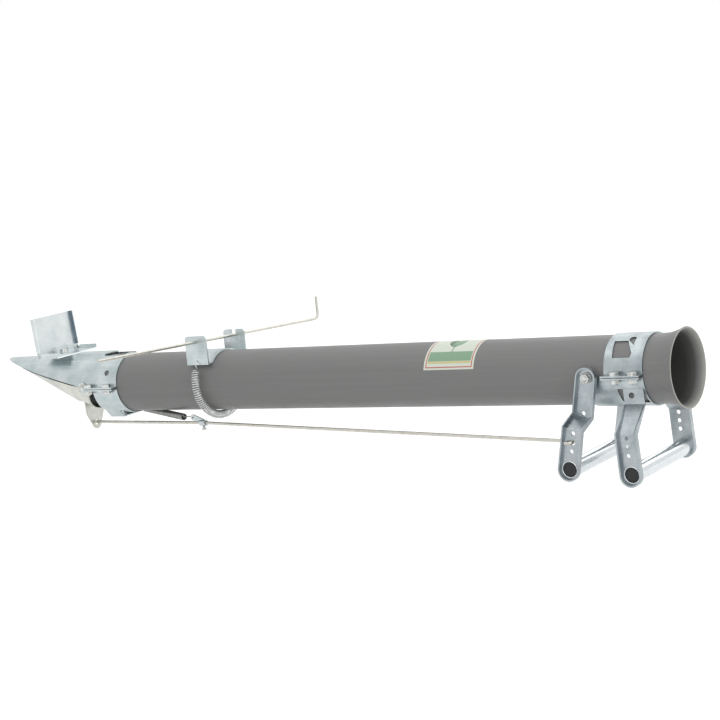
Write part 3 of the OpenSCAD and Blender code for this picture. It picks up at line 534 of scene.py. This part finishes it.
def begun(name, pull=1, **values):
    """A new material: its tree, its shader, its coordinates turned to run along the tube, and the same ones
    pulled out along it, for rolling marks and die lines."""
    material = bpy.data.materials.new(name)
    material.use_nodes = True
    tree = material.node_tree
    tree.nodes.clear()
    shader = add(tree, "BsdfPrincipled", values)
    add(tree, "OutputMaterial", {"Surface": shader})
    along = add(tree, "Mapping", {"Vector": add(tree, "TexCoord", out="Object"), "Rotation": (0, TILT, 0)})
    lines = add(tree, "Mapping", {"Vector": along, "Scale": (1 / pull, 1, 1)})
    return material, tree, shader.node, along, lines


def finished(material, shader, base, matt=None, grain=None, deep=0.0):
    """The material with a colour, a roughness and a relief of some depth linked into its shader."""
    tree = material.node_tree
    tree.links.new(base, shader.inputs["Base Color"])
    if matt is not None:
        tree.links.new(matt, shader.inputs["Roughness"])
    if grain is not None:
        tree.links.new(add(tree, "Bump", {"Height": grain, "Distance": deep}), shader.inputs["Normal"])
    return material


def rgba(shade, share=1.0):
    """A colour with its alpha, dimmed to a share."""
    return (*(part * share for part in shade), 1.0)


def zinc_plate(name, light, dark, rough=(0.26, 0.42), seam=None):
    """Bright zinc plating on pressed steel: a pale blue-white metal with soft clouds 26 mm across, rolling
    lines, dull blots of some 5 mm and a fine grain that breaks up its reflections. A seam, given as a point
    and a normal in the row's frame, gets a painted shadow: dark down to 2 mm below it, as if shaded by the
    upper jaw's edge."""
    material, tree, shader, along, lines = begun(name, 30, Metallic=1.0)
    clouds = add(tree, "TexNoise", {"Vector": along, "Scale": 1 / (26 * MM), "Detail": 3})
    rolled = add(tree, "TexNoise", {"Vector": lines, "Scale": 1 / (2.2 * MM), "Detail": 2})
    blots = add(tree, "TexNoise", {"Vector": along, "Scale": 1 / (5 * MM), "Detail": 4, "Roughness": 0.62})
    # A real grain of 0.2 mm would not show, so it is drawn at 0.8 mm
    grain = add(tree, "TexNoise", {"Vector": along, "Scale": 1 / (0.8 * MM), "Detail": 2})
    cloudy = add(tree, "MapRange", {0: clouds, **SPREAD})
    base = add(tree, "Mix", {0: cloudy, 6: rgba(dark), 7: rgba(light)}, 2, data_type="RGBA")
    lined = add(tree, "MapRange", {0: rolled, **SPREAD, 3: 0.14, 4: 0.0})
    base = add(tree, "Mix", {0: lined, 6: base, 7: rgba(dark, 0.55)}, 2, data_type="RGBA")
    dulled = add(tree, "MapRange", {0: blots, 1: 0.55, 2: 0.8, 3: 0.0, 4: 0.26})
    base = add(tree, "Mix", {0: dulled, 6: base, 7: rgba(dark, 0.62)}, 2, data_type="RGBA")
    # Painted shadow: a dark line on the lower jaw just below the seam, where the upper jaw's edge shades it
    if seam:
        point, normal = seam
        level = point.dot(normal)
        spot = add(tree, "TexCoord", out="Object")
        high = add(tree, "VectorMath", {0: spot, 1: tuple(normal)}, "Value", operation="DOT_PRODUCT")
        painted_seam_shadow = add(tree, "MapRange", {0: high, 1: level - 2.0 * MM, 2: level - 1.4 * MM})
        base = add(tree, "Mix", {0: painted_seam_shadow, 6: base, 7: rgba(TONE["painted_seam_shadow"])}, 2, data_type="RGBA")
    matt = add(tree, "MapRange", {0: blots, **SPREAD, 3: rough[0], 4: rough[1]})
    return finished(material, shader, base, matt, grain, 0.012 * MM)


def drawn_wire(name, shade, dull, rough=(0.22, 0.4), worn=0.5):
    """Drawn steel with a thin zinc coat: bright along its length, with die marks 0.9 mm apart and duller
    stretches of about 7 mm."""
    material, tree, shader, along, lines = begun(name, 12, Metallic=1.0)
    marks = add(tree, "TexNoise", {"Vector": lines, "Scale": 1 / (0.9 * MM), "Detail": 2})
    specks = add(tree, "TexNoise", {"Vector": along, "Scale": 1 / (7 * MM), "Detail": 3, "Roughness": 0.6})
    dulled = add(tree, "MapRange", {0: specks, 1: 0.45, 2: 0.75, 3: 0.0, 4: worn})
    base = add(tree, "Mix", {0: dulled, 6: rgba(shade), 7: rgba(dull)}, 2, data_type="RGBA")
    lined = add(tree, "MapRange", {0: marks, **SPREAD, 3: 0.2, 4: 0.0})
    base = add(tree, "Mix", {0: lined, 6: base, 7: rgba(dull, 0.5)}, 2, data_type="RGBA")
    matt = add(tree, "MapRange", {0: specks, **SPREAD, 3: rough[0], 4: rough[1]})
    return finished(material, shader, base, matt)


def grey_pipe():
    """Extruded rigid PVC: mid grey with a satin skin, faint lengthwise die lines 3 mm apart and a little
    dust. Its attribute of painted light is 1 deep in the bore, which it darkens as painted shade, and -1 on
    the lip, which it makes paler as a painted highlight."""
    tube = settings(TubeSettings)
    material, tree, shader, along, lines = begun("extruded_grey_pvc", 80, IOR=1.53)
    die = add(tree, "TexNoise", {"Vector": lines, "Scale": 1 / (3 * MM), "Detail": 2})
    dust = add(tree, "TexNoise", {"Vector": along, "Scale": 1 / (30 * MM), "Detail": 4, "Roughness": 0.6})
    fine = add(tree, "TexNoise", {"Vector": along, "Scale": 1 / (0.7 * MM), "Detail": 2})
    wear = add(tree, "Attribute", out="Fac", attribute_name="wear")
    streaks = add(tree, "MapRange", {0: die, **SPREAD})
    base = add(tree, "Mix", {0: streaks, 6: rgba(tube.dusk), 7: rgba(tube.shade)}, 2, data_type="RGBA")
    dusty = add(tree, "MapRange", {0: dust, **SPREAD, 3: 0.0, 4: 0.22})
    base = add(tree, "Mix", {0: dusty, 6: base, 7: rgba(TONE["dust"])}, 2, data_type="RGBA")
    # Painted shade inside the bore
    base = add(tree, "Mix", {0: wear, 6: base, 7: rgba(tube.bore)}, 2, data_type="RGBA")
    # Painted highlight on the mouth's lip
    painted_rim_highlight = add(tree, "MapRange", {0: wear, 1: 0.0, 2: -1.0})
    base = add(tree, "Mix", {0: painted_rim_highlight, 6: base, 7: rgba(tube.lip)}, 2, data_type="RGBA")
    matt = add(tree, "MapRange", {0: dust, **SPREAD, 3: 0.38, 4: 0.52})
    return finished(material, shader, base, matt, fine, 0.008 * MM)


def plating():
    """Clear-chromated zinc on turned steel: silvery, with a faint warm bloom in spots of 4 mm."""
    if "chromated_zinc_fasteners" in bpy.data.materials:
        return bpy.data.materials["chromated_zinc_fasteners"]
    size = settings(FastenerSettings)
    material, tree, shader, along, _ = begun("chromated_zinc_fasteners", Metallic=1.0)
    bloom = add(tree, "TexNoise", {"Vector": along, "Scale": 1 / (4 * MM), "Detail": 3, "Roughness": 0.6})
    fine = add(tree, "TexNoise", {"Vector": along, "Scale": 1 / (0.5 * MM), "Detail": 2})
    warm = add(tree, "MapRange", {0: bloom, 1: 0.42, 2: 0.66})
    base = add(tree, "Mix", {0: warm, 6: rgba(size.light), 7: rgba(size.dark)}, 2, data_type="RGBA")
    matt = add(tree, "MapRange", {0: bloom, **SPREAD, 3: 0.24, 4: 0.4})
    return finished(material, shader, base, matt, fine, 0.01 * MM)


def black_plug():
    """Moulded polyethylene: near black, with a dull sheen and a grain of 0.6 mm from its mould."""
    material, tree, shader, along, _ = begun("moulded_black_polyethylene", IOR=1.51, Roughness=0.5)
    grain = add(tree, "TexNoise", {"Vector": along, "Scale": 1 / (0.6 * MM), "Detail": 2})
    paler = add(tree, "MapRange", {0: grain, **SPREAD, 3: 0.0, 4: 0.5})
    plug = settings(SheetSettings).plug
    base = add(tree, "Mix", {0: paler, 6: rgba(plug), 7: rgba(TONE["worn plug"])}, 2, data_type="RGBA")
    return finished(material, shader, base, None, grain, 0.03 * MM)


def printed_film():
    """Glossy self-adhesive vinyl with a flat print: cream ground, red border, green and straw bands, two
    leaves. The print reads the film's own UV map, which is the film's flat size in shares."""
    tube = settings(TubeSettings)
    material, tree, shader, along, _ = begun("printed_vinyl_film", IOR=1.5, Roughness=0.3)
    flat = add(tree, "SeparateXYZ", {"Vector": add(tree, "TexCoord", out="UV")}).node.outputs
    spot = add(tree, "CombineXYZ", {"X": flat["X"], "Y": flat["Y"]})

    def box(y, wide, high):
        across = add(tree, "Math", {0: flat["X"], 1: 0.5, 2: wide}, operation="COMPARE")
        up = add(tree, "Math", {0: flat["Y"], 1: y, 2: high}, operation="COMPARE")
        return add(tree, "Math", {0: across, 1: up}, operation="MULTIPLY")

    def leaf(x, y, other_x, other_y):
        """Where two discs overlap."""
        discs = []
        for middle in ((x, y, 0), (other_x, other_y, 0)):
            far = add(tree, "VectorMath", {0: spot, 1: middle}, "Value", operation="DISTANCE")
            discs.append(add(tree, "Math", {0: far, 1: 0.2}, operation="LESS_THAN"))
        return add(tree, "Math", {0: discs[0], 1: discs[1]}, operation="MULTIPLY")

    edging = add(tree, "Math", {0: box(0.5, 0.465, 0.465), 1: box(0.5, 0.445, 0.445)}, operation="SUBTRACT")
    base = rgba(tube.paper)
    for mask, ink in (
        (box(0.26, 0.43, 0.10), tube.field),
        (box(0.135, 0.43, 0.02), tube.straw),
        (box(0.86, 0.43, 0.035), tube.straw),
        (leaf(0.36, 0.58, 0.54, 0.68), tube.leaf),
        (leaf(0.64, 0.58, 0.46, 0.68), tube.field),
        (box(0.45, 0.008, 0.11), tube.leaf),
        (edging, tube.border),
    ):
        base = add(tree, "Mix", {0: mask, 6: base, 7: rgba(ink)}, 2, data_type="RGBA")
    # Screen-print mottle, drawn at 1.2 mm so that it shows
    dots = add(tree, "TexNoise", {"Vector": along, "Scale": 1 / (1.2 * MM), "Detail": 2})
    dotted = add(tree, "MapRange", {0: dots, **SPREAD, 3: 0.0, 4: 0.12})
    base = add(tree, "Mix", {0: dotted, 6: base, 7: rgba(TONE["mottle"])}, 2, data_type="RGBA")
    waves = add(tree, "TexNoise", {"Vector": along, "Scale": 1 / (9 * MM), "Detail": 2})
    return finished(material, shader, base, None, waves, 0.02 * MM)


# Pieces


class PLANTER_OT_stage(Operator):
    """Sets up the camera, the floor, the room light and the lamps"""
    bl_idname = "planter.stage"
    bl_label = "Stage"

    def execute(self, context):
        stage = settings(StageSettings)
        self.camera(context, stage)
        self.floor(stage)
        self.room(context, stage)
        self.lamps(stage)
        return {"FINISHED"}

    def camera(self, context, stage):
        level, around = stage.elevation, stage.azimuth
        flat = math.cos(level)
        back = Vector((math.sin(around) * flat, -math.cos(around) * flat, math.sin(level)))
        right = (-back).cross(Vector((0, 0, 1))).normalized()
        up = right.cross(-back)
        c, s = math.cos(stage.roll), math.sin(stage.roll)
        right, up = right * c + up * s, up * c - right * s
        place = Matrix((right, up, back)).transposed().to_4x4()
        place.translation = Vector((0, 0, stage.aim_height)) + back * stage.distance
        camera = fresh(bpy.ops.object.camera_add)
        camera.name = "photo_camera"
        camera.matrix_world = TUBE @ place
        camera.data.sensor_width = 36
        camera.data.lens = stage.lens
        camera.data.clip_end = 50
        context.scene.camera = camera

    def seen(self, tree):
        """1 for what the camera sees, straight or in a gloss or through a glass."""
        ray = add(tree, "LightPath").node.outputs
        straight = add(tree, "Math", {0: ray["Is Camera Ray"], 1: ray["Is Glossy Ray"]}, operation="MAXIMUM")
        return add(tree, "Math", {0: straight, 1: ray["Is Transmission Ray"]}, operation="MAXIMUM")

    def floor(self, stage):
        floor = fresh(bpy.ops.mesh.primitive_plane_add, size=14, location=(0, 0, -0.2 * MM))
        floor.name = "floor"
        bpy.ops.object.transform_apply(location=True, rotation=False, scale=False)
        material = bpy.data.materials.new("painted_white_floor")
        material.use_nodes = True
        tree = material.node_tree
        tree.nodes.clear()
        paint = add(tree, "BsdfDiffuse", {"Color": rgba(stage.floor)})
        glow = add(tree, "Emission", {"Color": (1, 1, 1, 1), "Strength": 1.6})
        pale = add(tree, "MixShader", {"Fac": 0.5, 1: paint, 2: glow})
        shown = add(tree, "MixShader", {0: self.seen(tree), 1: paint, 2: pale})
        add(tree, "OutputMaterial", {"Surface": shown})
        floor.data.materials.append(material)

    def room(self, context, stage):
        world = bpy.data.worlds.new("pale_room")
        context.scene.world = world
        world.use_nodes = True
        tree = world.node_tree
        tree.nodes.clear()
        strength = add(tree, "MapRange", {0: self.seen(tree), 3: stage.world, 4: 1.0})
        light = add(tree, "Background", {"Color": (1, 1, 1, 1), "Strength": strength})
        add(tree, "OutputWorld", {"Surface": light})
        context.scene.view_settings.view_transform = "Standard"

    def lamps(self, stage):
        spots = (    # name, place, aim, width and power
            ("main_lamp", (-0.4, -0.3, 2.5), (0, 0, 0.1), 3.6, stage.key),
            ("fill_lamp", (1.9, -0.9, 1.0), (0.1, 0, 0.1), 2.4, stage.fill),
            ("back_lamp", (0.2, 1.8, 1.5), (0, 0, 0.1), 2.4, stage.fill),
        )
        for name, at, to, size, power in spots:
            lamp = fresh(bpy.ops.object.light_add, type="AREA", location=at)
            lamp.name = name
            lamp.rotation_euler = (Vector(at) - Vector(to)).to_track_quat("Z", "Y").to_euler()
            lamp.data.shape = "DISK"
            lamp.data.size = size
            lamp.data.energy = power


class PLANTER_OT_tube(Operator):
    """Turns the grey pipe with its flared mouth, and lays the printed film on it"""
    bl_idname = "planter.tube"
    bl_label = "Tube and film"

    def execute(self, context):
        tube = settings(TubeSettings)
        foot = BORE_AT - FOOT_BEFORE_BORE
        mouth = foot + tube.reach
        outer, wall, flare, run = tube.diameter / 2, tube.wall, tube.flare, tube.flare_length
        start, rim, lip = mouth - run, outer + flare, LIP_ROUND
        curve = [(start + run * t / FLARE_STEPS, flare * (t / FLARE_STEPS) ** FLARE_CURVE)
                 for t in range(FLARE_STEPS)]
        rings = (foot + 300 * MM, foot + 600 * MM)    # they keep the long faces short
        profile = [(foot + lip / 2, outer)] + [(x, outer) for x in rings]
        profile += [(x, outer + rise) for x, rise in curve]
        profile += [(mouth - lip, rim - 0.1 * MM), (mouth - lip * 0.3, rim - lip * 0.3), (mouth, rim - lip),
                    (mouth, rim - wall + lip), (mouth - lip * 0.3, rim - wall + lip * 0.3),
                    (mouth - lip, rim - wall)]
        profile += [(x, outer - wall + flare * (rise / flare) ** 1.15) for x, rise in reversed(curve)]
        profile += [(x, outer - wall) for x in reversed(rings)]
        profile += [(foot + lip / 2, outer - wall), (foot, outer - wall + lip / 2), (foot, outer - lip / 2)]
        pipe = turned(profile, 160)
        # Painted light as an attribute: 1 for the shade deep in the bore, falling to -1 for the highlight on
        # the lip
        wear = pipe.data.attributes.new("wear", "FLOAT", "POINT")
        for vertex in pipe.data.vertices:
            x, radius = vertex.co.x, math.hypot(vertex.co.y, vertex.co.z)
            skin = outer + flare * (max(0.0, x - start) / run) ** FLARE_CURVE - wall / 2
            inner = min(1.0, 2 * (mouth - x) / LIP_DEEP - 1)
            wear.data[vertex.index].value = inner if radius < skin or x > mouth - lip else 0.0
        fitted(pipe, "grey_pipe", grey_pipe(), "tube_plastic", "tube")
        self.film(tube)
        return {"FINISHED"}

    def film(self, tube):
        top = tube.diameter / 2 + FILM_OVER
        film = fresh(bpy.ops.mesh.primitive_grid_add, x_subdivisions=12, y_subdivisions=40, size=1,
                     location=(0, 0, 0))
        for vertex in film.data.vertices:
            turn = tube.film_turn - vertex.co.y * tube.film_width / (tube.diameter / 2)
            x = tube.film_at + vertex.co.x * tube.film_length
            vertex.co = (x, -top * math.sin(turn), top * math.cos(turn))
        with_modifier(film, "SOLIDIFY", thickness=FILM_THICK, offset=-1)
        fitted(smooth(film), "printed_film", printed_film(), "sticker_film", "sticker")


class PLANTER_OT_beak(Operator):
    """Finishes the pressed jaws, the collar and the foot plate"""
    bl_idname = "planter.beak"
    bl_label = "Beak"

    def execute(self, context):
        sheet = settings(SheetSettings)
        coat = zinc_plate("zinc_plated_sheet", sheet.light, sheet.dark)
        # The lower jaw's finish paints a shadow line just below its seam with the upper jaw
        warm = zinc_plate("zinc_plated_jaw_sheet", sheet.cream, TONE["dull jaw"], seam=SEAM)
        bright = zinc_plate("zinc_plated_step_sheet", TONE["step"], TONE["dull step"])
        for node, name in (("fixed_jaw", "upper_jaw"), ("lower_beak_collar", "beak_collar")):
            fitted(pressed(node), name, coat, "zinc_sheet", node)
        fitted(self.blade(), "lower_jaw", warm, "zinc_sheet", "moving_jaw")
        step = fitted(self.step(), "step_plate", bright, "zinc_sheet", "foot_plate")
        # Painted shade: the lip faces at the step's far edge that face the near side get a darker copy of the
        # zinc, to look shaded
        step.data.materials.append(zinc_plate("zinc_plated_step_lip", TONE["lip"], TONE["dull lip"]))
        low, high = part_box("foot_plate")
        for face in step.data.polygons:
            middle = face.center
            if face.normal.y < -0.5 and middle.y > high[1] - STEP_RIM and middle.z > low[2] + STEP_RIM:
                face.material_index = 1
        return {"FINISHED"}

    def step(self):
        """The foot plate, with the slots of its leg pressed blind."""
        plate = traced("foot_plate")
        hinge = TUBE.inverted() @ SEAM[0]
        strip = block(SLOT_FILL, Matrix.Translation((hinge.x - STEP_AT, 0, STEP_HIGH))
                      @ Matrix.Rotation(-STEP_LEAN, 4, "Y") @ Matrix.Translation(SLOT_FILL_AT))
        return eased(cut(plate, strip, "UNION"))

    def blade(self):
        """The lower jaw, cut back from the seam and, ahead of its ears, flush with the upper jaw."""
        hinge = TUBE.inverted() @ SEAM[0]
        slope = (JAW_TOP - hinge.z) / JAW_REACH
        bend = 2 * math.atan(slope)
        root = Vector((hinge.x + hinge.z / slope, 0, 0))
        back = Vector((math.cos(bend), 0, -math.sin(bend)))
        jaw = traced("moving_jaw")
        past = (300 * MM, 120 * MM, 20 * MM)    # a slab that reaches well past the jaw
        cut(jaw, block(past, Matrix.Translation(hinge) @ Matrix.Rotation(bend / 2, 4, "Y")
                       @ Matrix.Translation((-past[0] / 2 - SWELL_FROM, 0, past[2] / 2 - SEAM_GAP))))
        editing(jaw)
        for reach in (SWELL_FROM, SWELL_FROM + SWELL_RUN):
            bpy.ops.mesh.select_all(action="SELECT")
            bpy.ops.mesh.bisect(plane_co=root - back * reach, plane_no=back)
        editing(jaw, False)
        for vertex in jaw.data.vertices:
            away = vertex.co - root
            ahead = -away.dot(back)
            aside = away + back * ahead
            share = min(1.0, max(0.0, (ahead - SWELL_FROM) / SWELL_RUN))
            vertex.co += aside.normalized() * JAW_SWELL * share
        return eased(jaw)


class PLANTER_OT_marker(Operator):
    """Finishes the saddle and the long wire, and winds the strap spring"""
    bl_idname = "planter.marker"
    bl_label = "Row marker"

    def execute(self, context):
        coat = bpy.data.materials["zinc_plated_sheet"]
        fitted(pressed("marker_bracket"), "saddle", coat, "zinc_sheet", "marker_bracket")
        wires = settings(WireSettings)
        rod_coat = drawn_wire("zinc_coated_rod", wires.rod, TONE["dull rod"], worn=0.35)
        fitted(smooth(traced("marker_wire"), 50), "long_wire", rod_coat, "zinc_wire", "marker_wire")
        self.strap(wires)
        return {"FINISHED"}

    def strap(self, wires):
        """The spring under the tube: a ring through each ear, and curls along a round path between them."""
        path_r = settings(TubeSettings).diameter / 2 + STRAP_GAP + wires.strap_width / 2
        curl_r = (wires.strap_width - wires.strap_wire) / 2
        ring = [(EAR_MID + RING_R * math.sin(a), RING_Z + RING_R * math.cos(a))
                for a in (math.radians(25 * k - 80) for k in range(12))]
        near = [Vector((SADDLE_X, -y, z)) for y, z in ring]
        far = [Vector((SADDLE_X, y, z)) for y, z in reversed(ring)]
        steps = 12 * wires.strap_curls
        coil = []
        for k in range(steps + 1):
            share = k / steps
            around = math.pi - STRAP_RISE + (math.pi + 2 * STRAP_RISE) * share
            wide = curl_r * min(1, 2 * share * wires.strap_curls, 2 * (1 - share) * wires.strap_curls)
            turn = 2 * math.pi * wires.strap_curls * share
            reach = path_r + wide * math.sin(turn) + STRAP_BULGE * math.cos(around) ** 2
            coil.append(Vector((SADDLE_X + wide * math.cos(turn), reach * math.cos(around),
                                reach * math.sin(around))))
        spring = wire(near + coil + far, wires.strap_wire / 2)
        spring.data.transform(Matrix.Rotation(-SADDLE_ROLL, 4, "X"))
        bright = drawn_wire("bright_drawn_spring_steel", wires.bright, TONE["dull strap"], (0.34, 0.5), 0.3)
        fitted(spring, "strap_spring_wound", bright, "spring_steel", "strap_spring")


class PLANTER_OT_handles(Operator):
    """Finishes the clamp and the pressed arms, and turns the grips and their plugs"""
    bl_idname = "planter.handles"
    bl_label = "Handles"

    def execute(self, context):
        sheet = settings(SheetSettings)
        clamp = zinc_plate("zinc_plated_clamp_sheet", TONE["clamp"], sheet.shade)
        arm = zinc_plate("zinc_plated_arm_sheet", sheet.arm, sheet.shade, (0.24, 0.36))
        for node in ("upper_handle_clamp", "lower_handle_clamp"):
            fitted(pressed(node), node + "_sheet", clamp, "zinc_sheet", node)
        for node in ("near_fixed_arm", "far_fixed_arm", "near_moving_arm", "far_moving_arm"):
            fitted(pressed(node, wide=4 * MM), node + "_pressing", arm, "zinc_sheet", node)
        bright = drawn_wire("bright_zinc_tube", sheet.grip, sheet.light, (0.16, 0.26))
        for handle in ("fixed", "moving"):
            self.grip(handle, bright)
            self.plugs(handle)
        return {"FINISHED"}

    def grip(self, handle, finish):
        low, high = solids(handle + "_grip")[0]
        run, outer = high.y - low.y, (high.x - low.x) / 2
        inner, lip = outer - GRIP_WALL, 0.3 * MM
        bar = turned([(0, inner + lip), (0, outer - lip), (lip, outer), (run / 2, outer), (run - lip, outer),
                      (run, outer - lip), (run, inner + lip), (run - lip, inner), (lip, inner)], 64)
        bar.data.transform(facing(((low.x + high.x) / 2, low.y, (low.z + high.z) / 2), (0, 1, 0)))
        fitted(bar, handle + "_grip_bar", finish, "zinc_sheet", handle + "_grip")

    def plugs(self, handle):
        node = handle + "_grip_plugs"
        low, high = solids(node)[0]
        deep, outer = high.y - low.y, (high.x - low.x) / 2
        plug = turned([(0, 0), (0, outer - 0.5 * MM), (0.5 * MM, outer), (deep - 0.8 * MM, outer),
                       (deep - 0.2 * MM, outer - 0.6 * MM), (deep, outer * 0.72),
                       (deep - 0.3 * MM, outer * 0.66), (deep - 0.3 * MM, 0)], 48, closed=False)
        finish = bpy.data.materials.get("moulded_black_polyethylene") or black_plug()
        fitted(repeated(plug, node, outward), handle + "_plugs", finish, "plug_plastic", node)


class PLANTER_OT_linkage(Operator):
    """Finishes the pull rod and its clip, and winds the return spring"""
    bl_idname = "planter.linkage"
    bl_label = "Linkage"

    def execute(self, context):
        wires = settings(WireSettings)
        rod, clip = smooth(traced("pull_rod"), 60), eased(traced("spring_clip"))
        looks = bpy.data.materials
        fitted(rod, "long_pull_rod", looks["zinc_coated_rod"], "zinc_wire", "pull_rod")
        fitted(clip, "rod_clip", looks["zinc_plated_sheet"], "zinc_sheet", "spring_clip")
        self.screw()
        self.spring(wires)
        return {"FINISHED"}

    def screw(self):
        low, high = solids("clip_screw")[0]
        run, head, shank = high.z - low.z, (high.x - low.x) / 2, 2 * MM
        screw = turned([(0, 0), (0, head * 0.5), (0.5 * MM, head * 0.9), (1 * MM, head), (2 * MM, head),
                        (2 * MM, shank)] + thread(2.6 * MM, run, shank, 0.7 * MM) + [(run, 0)],
                       32, closed=False)
        cut(screw, block((1.2 * MM, 9 * MM, 0.9 * MM), Matrix.Translation((0.3 * MM, 0, 0))))
        screw.data.transform(facing(((low.x + high.x) / 2, (low.y + high.y) / 2, low.z), (0, 0, 1)))
        fitted(screw, "slotted_screw", plating(), "fastener_steel", "clip_screw")

    def spring(self, wires):
        start, end = Vector(RETURN_ENDS[0]) * MM, Vector(RETURN_ENDS[1]) * MM
        along = (end - start).normalized()
        side = along.cross(Vector((0, 0, 1))).normalized()
        up = along.cross(side)
        curl_r = (wires.return_width - wires.return_wire) / 2
        steps = 12 * wires.return_curls
        coil = []
        for k in range(steps + 1):
            share = k / steps
            wide = curl_r * min(1, 4 * share * wires.return_curls, 4 * (1 - share) * wires.return_curls)
            turn = 2 * math.pi * wires.return_curls * share
            middle = start + (end - start) * share
            coil.append(middle + side * wide * math.cos(turn) + up * wide * math.sin(turn))
        hooks = [[Vector(point) * MM for point in points] for points in RETURN_HOOKS]
        spring = wire(hooks[0] + coil + hooks[1], wires.return_wire / 2, 6)
        dull = drawn_wire("dull_drawn_spring_steel", wires.grey, TONE["dull spring"], (0.34, 0.46))
        fitted(spring, "return_spring_wound", dull, "spring_steel", "return_spring", rides=False)
        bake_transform(spring)


class PLANTER_OT_fasteners(Operator):
    """Models one bolt, nut, rivet, washer, stud and bush, and copies each to its places"""
    bl_idname = "planter.fasteners"
    bl_label = "Fasteners"

    def execute(self, context):
        size = settings(FastenerSettings)
        for name, node, make, placing in (
            ("collar_bolts", "beak_collar_bolts", self.bolt, downward),
            ("clamp_bolts", "handle_clamp_bolts", self.bolt, downward),
            ("plate_bolt", "foot_plate_bolt", self.bolt, downward),
            ("collar_nuts", "beak_collar_nuts", self.nut, downward),
            ("clamp_nuts", "handle_clamp_nuts", self.nut, downward),
            ("plate_nut", "foot_plate_nut", self.nut, downward),
            ("pivot_nuts", "handle_pivot_nuts", self.nut, outward),
            ("plate_washer", "foot_plate_washer", self.washer, downward),
            ("ear_washers", "jaw_pivot_washers", self.washer, outward),
            ("pivot_washers", "handle_pivot_washers", self.washer, outward),
            ("pivot_bushes", "handle_pivot_bushes", self.washer, outward),
            ("pivot_rivets", "jaw_pivot_rivets", self.rivet, outward),
            ("pivot_studs", "handle_pivot_studs", self.stud, outward),
        ):
            low, high = solids(node)[0]
            span = high - low
            piece = make(span.z if placing is downward else span.y, span.x / 2, size.shank / 2, size)
            fitted(repeated(piece, node, placing), name, plating(), "fastener_steel", node)
        return {"FINISHED"}

    # Each is made from its run, its outer radius, its shank's radius and the fastener settings

    def bolt(self, run, wide, shank, size):
        start = size.head - 0.2 * MM
        rod = turned([(start, 0), (start, shank), (size.head + 2 * MM, shank)]
                     + thread(size.head + 2 * MM, run, shank, size.pitch) + [(run, 0)], 32, closed=False)
        return joined([hexagon(size.head, size.flats, 0, False), rod])

    def nut(self, run, wide, shank, size):
        return hexagon(run, size.flats, shank + BORE_PLAY, True)

    def washer(self, run, wide, shank, size):
        return ring(wide, shank + BORE_PLAY, run)

    def rivet(self, run, head, shank, size):
        dome = 2.4 * MM
        return turned([(0, 0), (0, head * 0.7), (dome * 0.4, head), (dome, head), (dome, shank),
                       (run - dome, shank), (run - dome, head), (run - dome * 0.6, head * 0.94),
                       (run - dome * 0.25, head * 0.68), (run, head * 0.3), (run, 0)], 40, closed=False)

    def stud(self, run, collar, shank, size):
        """A stud whose thin collar stands on the sheet."""
        sheet, thick, threaded = settings(SheetSettings).thickness, 1 * MM, run - 8 * MM
        return turned([(0, 0), (0, shank), (sheet, shank), (sheet, collar), (sheet + thick, collar),
                       (sheet + thick, shank), (threaded, shank)]
                      + thread(threaded, run, shank, size.pitch) + [(run, 0)], 40, closed=False)


CLASSES = (*GROUPS, PLANTER_OT_stage, PLANTER_OT_tube, PLANTER_OT_beak, PLANTER_OT_marker,
           PLANTER_OT_handles, PLANTER_OT_linkage, PLANTER_OT_fasteners)
OPERATORS = [made for made in CLASSES if issubclass(made, Operator)]


class PLANTER_PT_panel(Panel):
    """Lists the pieces of the planter and their sizes"""
    bl_idname = "PLANTER_PT_panel"
    bl_label = "Hand planter"
    bl_space_type = "VIEW_3D"
    bl_region_type = "UI"
    bl_category = "Planter"

    def draw(self, context):
        for made in OPERATORS:
            self.layout.operator(made.bl_idname)
        for group in GROUPS:
            box = self.layout.box()
            box.label(text=group.__name__)
            for key in group.__annotations__:
                box.prop(settings(group), key)


def register():
    for made in (*CLASSES, PLANTER_PT_panel):
        bpy.utils.register_class(made)
    for group, name in GROUPS.items():
        setattr(bpy.types.Scene, name, PointerProperty(type=group))


def unregister():
    for name in GROUPS.values():
        delattr(bpy.types.Scene, name)
    for made in (PLANTER_PT_panel, *reversed(CLASSES)):
        bpy.utils.unregister_class(made)


def main():
    register()
    for made in OPERATORS:
        group, name = made.bl_idname.split(".")
        getattr(getattr(bpy.ops, group), name)()


if __name__ == "__main__":
    main()
